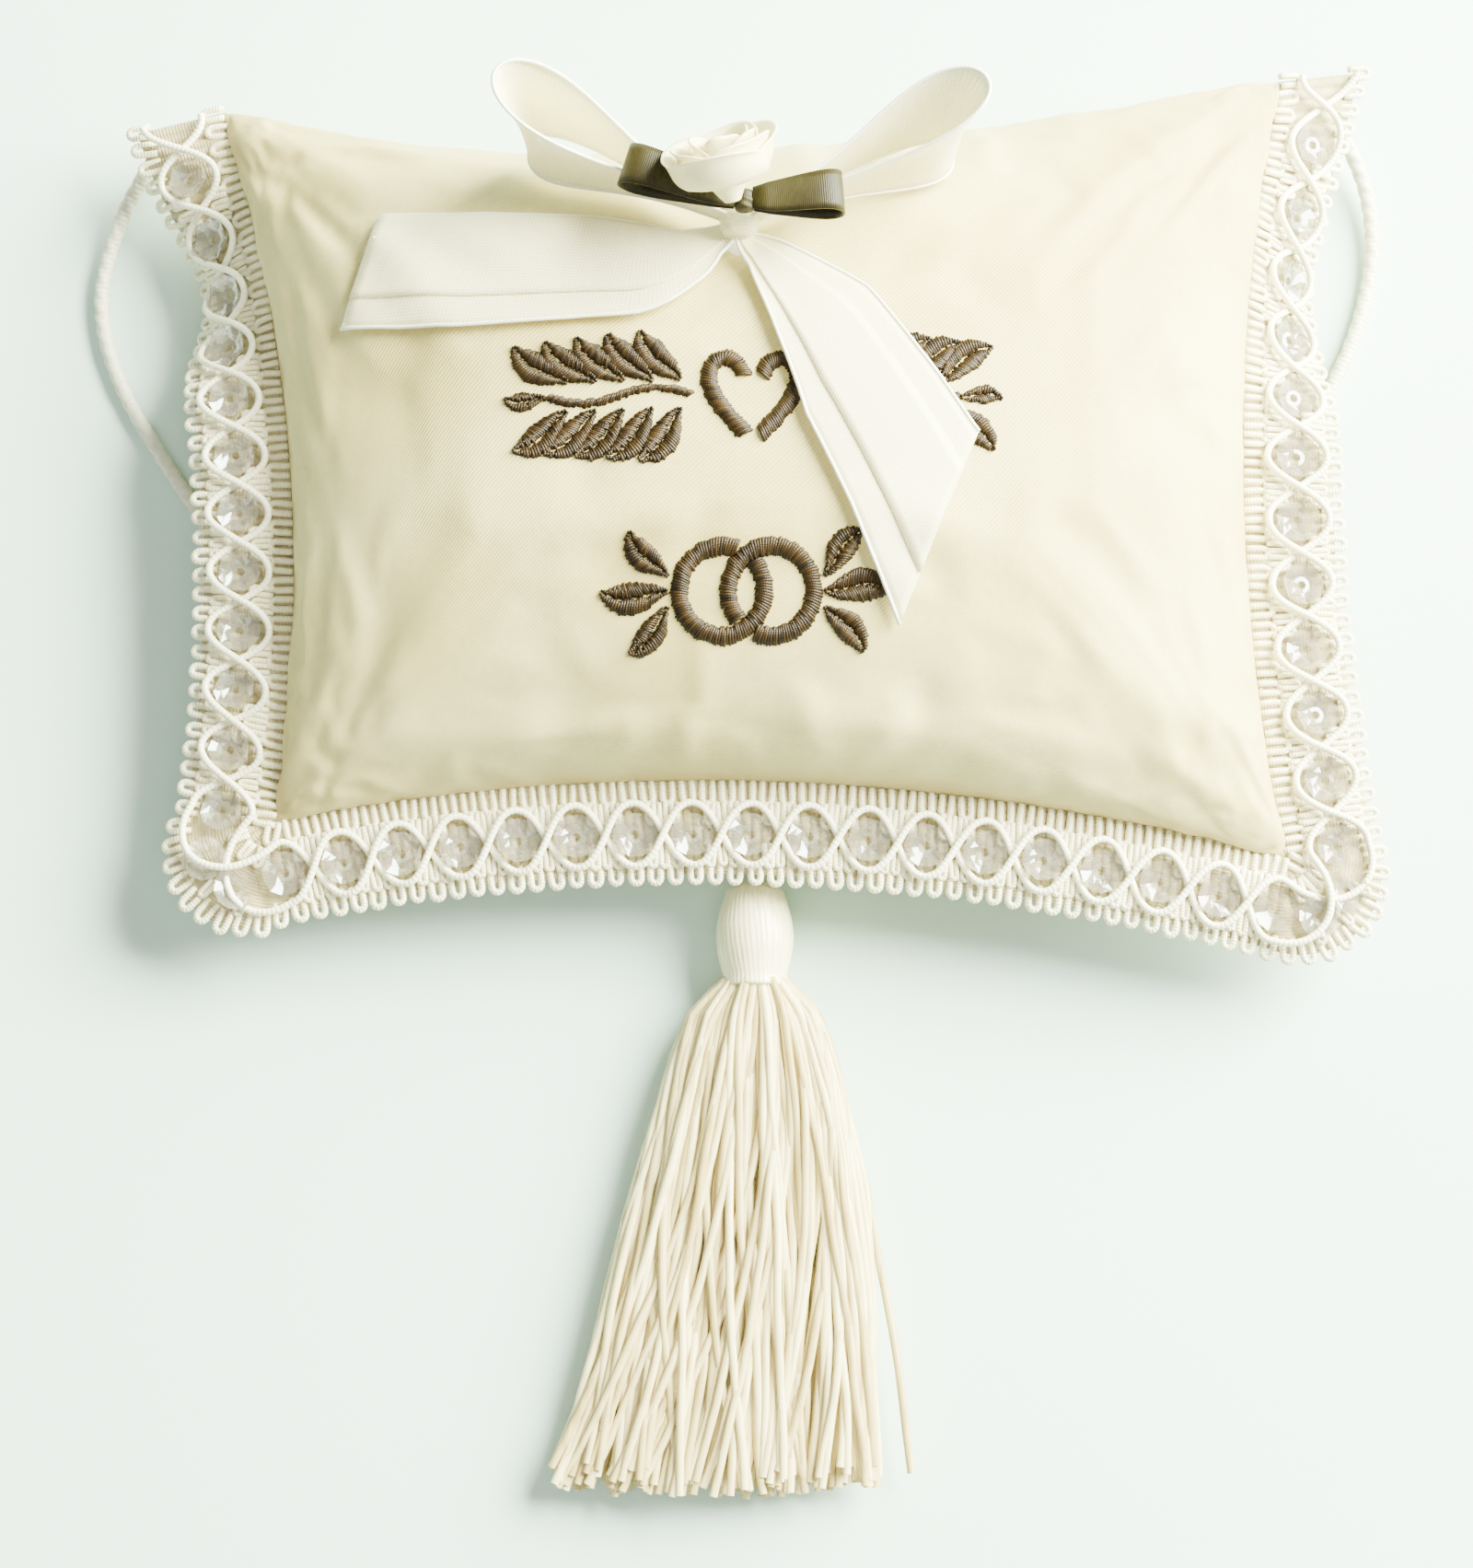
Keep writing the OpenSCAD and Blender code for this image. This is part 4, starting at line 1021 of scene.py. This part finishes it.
def tail_rows(route, halves, slant, steps=7, across=17):
    """A tail of ribbon laid over the face; slant is how far its left edge runs past its middle"""
    path = smooth_path(route, steps)
    rows = []
    for i, p in enumerate(path):
        t = heading(path, i)
        s = i / (len(path) - 1)
        half = along(halves, s)
        lift = 1.5 + 0.8 * (1 - s) ** 2 + 2.6 * (1 - s) ** 9
        row = []
        for j in range(across):
            f = 2 * j / (across - 1) - 1
            q = p + left_of(t) * f * half + t * slant * f * s
            row.append(on_face(q, lift))
        rows.append(row)
    return rows


def sheer_ribbon(name, node, body, rows, fold):
    """One length of the bow's ribbon with its two selvedges. fold is the share of its width where it lies double"""
    cloth = ribbon_piece(name, rows, SHEER, SHEER_T)
    parts = [rope_piece(name + "_selvedges", [[row[0] for row in rows], [row[-1] for row in rows]], 0.3, 6, SELVEDGE)]
    if fold:
        low, high = (round(share * (len(rows[0]) - 1)) for share in fold)
        over = [[p + UP * 0.3 for p in row[low:high + 1]] for row in rows]
        parts.append(ribbon_piece(name + "_fold", over, SHEER, SHEER_T))
    for piece in [cloth] + parts:
        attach(piece, body)
    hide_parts(node)


TAIL_LEFT = tail_rows([(-4.2, 29.4), (-6.8, 27.9), (-11, 25.2), (-17, 23.7), (-26, 24.2), (-42, 24.7), (-58.5, 25.8)],
                      [1.1, 2.4, 4.6, 7.2, 8.4, 9.3, 8.8], 2)
TAIL_RIGHT = tail_rows([(-2.6, 29), (-1, 26.6), (4.5, 19.5), (11, 10.5), (18, -1), (25.5, -15)],
                       [1.1, 2.0, 5.5, 9, 10, 11.5], -9.5)
for name, node, body, rows, held, fold in (
        ("sheer_loop_left_ribbon", "sheer_bow_loop_left", "pillow", loop_rows(153), "gathered", None),
        ("sheer_loop_right_ribbon", "sheer_bow_loop_right", "pillow", loop_rows(25), "gathered", None),
        ("sheer_tail_left_ribbon", "sheer_tail_left", "tail_left", TAIL_LEFT, "laid", (0, 0.76)),
        ("sheer_tail_right_ribbon", "sheer_tail_right", "tail_right", TAIL_RIGHT, "laid", (0.24, 0.8))):
    sheer_ribbon(name, node, body, rows, fold)


def gathered_knot(name, centre, radius, length, material, folds):
    """Ribbon drawn tight round the middle of a bow: a barrel along Y with creases running round it"""
    rings, sides = 15, 36
    points, uv = [], []
    for i in range(rings):
        y = length * (i / (rings - 1) - 0.5)
        end = 1 - 0.3 * (2 * y / length) ** 2 if 0 < i < rings - 1 else 0.35
        for k in range(sides):
            a = 2 * math.pi * k / sides
            crease = 1 - 0.09 * math.cos(folds * math.pi * i / (rings - 1) + 0.8 * math.sin(a * 2)) ** 2
            r = radius * end * crease
            points.append(centre + Vector((r * math.cos(a), y, r * math.sin(a))))
            uv.append((radius * a, y))
    return new_piece(name, points, tube_faces(rings, sides), material, uv)


sheer_knot = gathered_knot("sheer_knot", KNOT, KNOT_R, KNOT_L, SHEER, 5)
belongs(sheer_knot, "pillow", "sheer_ribbon", "sheer_bow_knot")


# ---- Narrow satin bow ----

OLIVE_W, OLIVE_R, OLIVE_CUT = 6.2, 1.7, 10.0
OLIVE = Vector((-2.2, 31.2, KNOT_Z + KNOT_R + 1.4 + OLIVE_R))


def olive_rows(angle, length, steps=36, across=7):
    out = polar(1, angle)
    side = left_of(out)
    start = OLIVE_R * 0.7
    rows = []
    for i in range(steps + 1):
        f = i / steps
        reach = start + (length - start) * math.sin(math.pi * f) ** 0.7
        high = 2.1 * math.sin(2 * math.pi * f) * math.sin(math.pi * f) ** 0.3 + 0.5 * math.cos(math.pi * f) + 0.4
        half = mix(1.6, OLIVE_W / 2, math.sin(math.pi * f) ** 0.4)
        row = []
        for j in range(across):
            g = 2 * j / (across - 1) - 1
            q = out * reach + side * g * half
            row.append(OLIVE + Vector((q.x, q.y, high + 0.25 * (1 - g * g))))
        rows.append(row)
    return rows


for name, node, angle, length in (("olive_loop_left", "olive_bow_loop_left", 163, 18),
                                  ("olive_loop_right", "olive_bow_loop_right", 4, 14)):
    rows = olive_rows(angle, length)
    loop = ribbon_piece(name, rows, OLIVE_SATIN, 0.3)
    belongs(loop, "pillow", "olive_ribbon", node)
olive_knot = gathered_knot("olive_knot", OLIVE, OLIVE_R, 3.4, OLIVE_SATIN, 3)
belongs(olive_knot, "pillow", "olive_ribbon", "olive_bow_knot")


# ---- Rose: folded ribbon petals, cupped round a rolled heart ----

ROSE_R, ROSE_L = 9.2, 9.4
ROSE_AT = Vector((-3.9, 29.8, KNOT_Z + 10))
ROSE_TURN = Matrix.Rotation(math.radians(17), 3, "Z") @ Matrix.Rotation(math.radians(-59), 3, "X")
STEM_L = ROSE_L * 0.3


def rose_place(r, degrees, z):
    return ROSE_AT + ROSE_TURN @ Vector((*polar(r, degrees), z))


def petal_rows(middle, spread, low_r, top_r, z0, z1, roll, steps=18, up=12):
    """A petal: a cupped fan of ribbon whose rim rolls outward and dips at its two ends"""
    rows = []
    for i in range(up + 1):
        f = i / up
        row = []
        for k in range(steps + 1):
            g = 2 * k / steps - 1
            shoulder = 1 - 0.3 * abs(g) ** 2.6
            r = mix(low_r, top_r, math.sin(math.pi / 2 * f) ** 0.5) * (1 - 0.2 * g ** 4 * f)
            r += roll * max(0.0, f - 0.7) ** 1.5 * 6 * (1 - g * g)
            z = mix(z0, z1 * shoulder, f) - roll * max(0.0, f - 0.8) ** 2 * 16 * (1 - g * g)
            wave = 0.22 * math.sin(5 * g + middle) * f
            row.append(rose_place(r + wave, middle + spread * g, z + wave))
        rows.append(row)
    return rows


PETALS = [
    (20, 76, 0.5, 0.9, 0.98, 0.8), (128, 78, 0.5, 0.92, 0.96, 0.8), (246, 84, 0.55, 0.92, 0.94, 0.9),
    (300, 66, 0.45, 0.8, 1.02, 0.7), (66, 70, 0.36, 0.72, 1.04, 0.6), (186, 70, 0.36, 0.7, 1.0, 0.6),
    (330, 70, 0.3, 0.6, 1.06, 0.5), (20, 82, 0.24, 0.48, 1.04, 0.4), (160, 82, 0.22, 0.42, 1.06, 0.4),
    (280, 82, 0.2, 0.36, 1.08, 0.3)]
for n, (middle, spread, low, top, high, roll) in enumerate(PETALS):
    rows = petal_rows(middle, spread, ROSE_R * low, ROSE_R * top - 0.25, STEM_L + 0.3, ROSE_L * high, roll)
    belongs(ribbon_piece("rose_petal_%d" % (n + 1), rows, ROSE_SATIN, 0.3), "pillow", "rose_ribbon", "rose_petals")


def rolled_heart():
    """The rose's middle: one length of ribbon rolled up on itself"""
    rows, steps, turns = [], 70, 2.4
    for i in range(steps + 1):
        f = i / steps
        r, top = mix(0.5, ROSE_R * 0.3, f), ROSE_L * mix(0.98, 0.9, f)
        rows.append([rose_place(r * mix(0.75, 1.15, g / 5), 360 * turns * f, mix(STEM_L + 0.4, top, g / 5))
                     for g in range(6)])
    return ribbon_piece("rose_heart", rows, ROSE_SATIN, 0.28)


belongs(rolled_heart(), "pillow", "rose_ribbon", "rose_centre")


# ---- Tassel ----

TASSEL_X, HEAD_R, HEAD_L, BINDING_R, SKIRT_L, SKIRT_HALF = -0.7, 5.75, 15.5, 4.75, 75, 23
AXIS_Z = HEAD_R + 0.45
HEAD_Y = -60.39
# How far down the head its neck begins, and how many strands hang from it and how thick they are
NECK_AT, STRANDS, STRAND_R = 12.4, 320, 0.6


def head_radius(f):
    return HEAD_R * (0.58 + 0.42 * math.sin(math.pi * (0.1 + 0.62 * f)) ** 1.3)


def tassel_head():
    """Floss laid lengthwise over a core, drawn in at the neck: the strands show as fine ridges"""
    rings, sides, ridges = 40, 132, 44
    points, uv, tones = [], [], []
    for i in range(rings + 1):
        f = i / rings
        s = f * HEAD_L
        body = head_radius(min(s / NECK_AT, 1))
        if s >= NECK_AT:
            body = mix(body, BINDING_R, clamp((s - NECK_AT) / 1.5, 0, 1))
        body *= mix(0.45, 1, clamp(f / 0.07, 0, 1) ** 0.5)
        for k in range(sides):
            a = 2 * math.pi * k / sides
            ridge = 0.035 * abs(math.sin(ridges / 2 * (a + 0.25 * f)))
            r = min(body * (1.0 - 0.035 + ridge), HEAD_R)
            points.append(Vector((TASSEL_X + r * math.cos(a), HEAD_Y - s, AXIS_Z + r * math.sin(a))))
            uv.append((a * HEAD_R, s))
            tones.append((int(k / 3) * 0.618) % 1)
    return new_piece("tassel_head", points, tube_faces(rings + 1, sides), HEAD_YARN, uv, tones)


def skirt_half(f):
    return BINDING_R + (SKIRT_HALF - BINDING_R) * f ** 0.47


def skirt_thick(f):
    return mix(BINDING_R, 5.6, min(1, f * 6)) - 1.4 * f


# Strands that have strayed from the rest, and how far: a share of the skirt's half width
STRAYS = {318: 0.24, 311: 0.16, 4: -0.1}


def tassel_strands():
    """Cut strands that spread from the neck, lie on each other and on the table, and cross here and there"""
    deal = random.Random(11)
    top = HEAD_Y - HEAD_L + 0.8
    lines = []
    for n in range(STRANDS):
        place = 2 * (n + deal.random()) / STRANDS - 1
        layer = deal.uniform(-1, 1)
        crossing = deal.choice((-0.7, -0.35, 0.35, 0.6, 0.45)) if deal.random() < 0.24 else 0
        end = clamp(place + deal.gauss(0, 0.13) + crossing, -1, 1) + STRAYS.get(n, 0)
        layer = deal.uniform(0.5, 1.1) if crossing else layer
        reach = SKIRT_L * deal.uniform(0.955, 1.0) - 1.5 * abs(end)
        sway, beat = deal.uniform(-0.9, 0.9), deal.uniform(0.6, 1.6)
        line = []
        for i in range(15):
            f = i / 14
            x_share = mix(place, end, f ** 1.4)
            half, thick = skirt_half(f), skirt_thick(f) - STRAND_R
            room = math.sqrt(max(0.05, 1 - x_share * x_share))
            middle = mix(AXIS_Z, thick + STRAND_R + 0.35, min(1, f * 3))
            z = middle + (thick - 0.5) * layer * room + 0.4 * math.sin(beat * 6 * f + 9 * sway)
            x = TASSEL_X - 6 * f * f + (half - STRAND_R) * x_share + sway * math.sin(beat * math.pi * f)
            line.append(Vector((x, top - reach * f, max(z, STRAND_R + 0.1))))
        lines.append(line)
    return lines


belongs(tassel_head(), "tassel", "head_yarn", "tassel_head_cover", "tassel_neck_binding")
skirt = threads("tassel_strands", tassel_strands(), TASSEL_YARN, STRAND_R, 2.2, 3.6, 34, 6, 5, 0.55)
belongs(skirt, "tassel", "tassel_yarn", "tassel_skirt")


# ---- CAD nodes that stay, with their finishes ----

KEPT = {"fibre_fill": FILL_FIBRE, "embroidery_backing": BACKING, "rose_base": ROSE_SATIN,
        "tassel_loop": CORD_RAYON, "tassel_core_cord": CORD_RAYON, "tassel_head_core": TASSEL_YARN}
for node in ("top_seam_stitches", "braid_stitches", "bow_tack_thread", "tassel_anchor", "hanger_tack_left",
             "hanger_tack_right"):
    KEPT[node] = SEWING_THREAD
for node, finish in KEPT.items():
    for place in bpy.data.objects[node].material_slots:
        place.material = finish


# ---- Floor and light ----

def floor():
    mesh = bpy.data.meshes.new("floor")
    mesh.from_pydata([(-3, -3, 0), (3, -3, 0), (3, 3, 0), (-3, 3, 0)], [], [(0, 1, 2, 3)])
    material, tree, shader = new_material("floor_matt_white")
    wire(tree, shader, {"Base Color": colour("#cfe9e1"), "Roughness": 0.8})
    mesh.materials.append(material)
    add_object("floor", mesh)


def soft_light(name, place, target, size, power, tint):
    data = bpy.data.lights.new(name, "AREA")
    data.shape = "DISK"
    data.size = size
    data.energy = power
    data.color = colour(tint)[:3]
    lamp = add_object(name, data)
    lamp.location = place
    aim(lamp, target)


floor()
soft_light("key", (0.56, 0.27, 0.44), (0, 0, 0.02), 0.7, 114.0, "#f8fce6")
soft_light("fill", (-0.1, -0.5, 1.0), (0, -0.03, 0.02), 0.9, 6.0, "#f6faf0")
world = bpy.data.worlds.new("studio")
world.use_nodes = True
wire(world.node_tree, world.node_tree.nodes["Background"], {"Color": colour("#eff6ea"), "Strength": 0.57})
bpy.context.scene.world = world
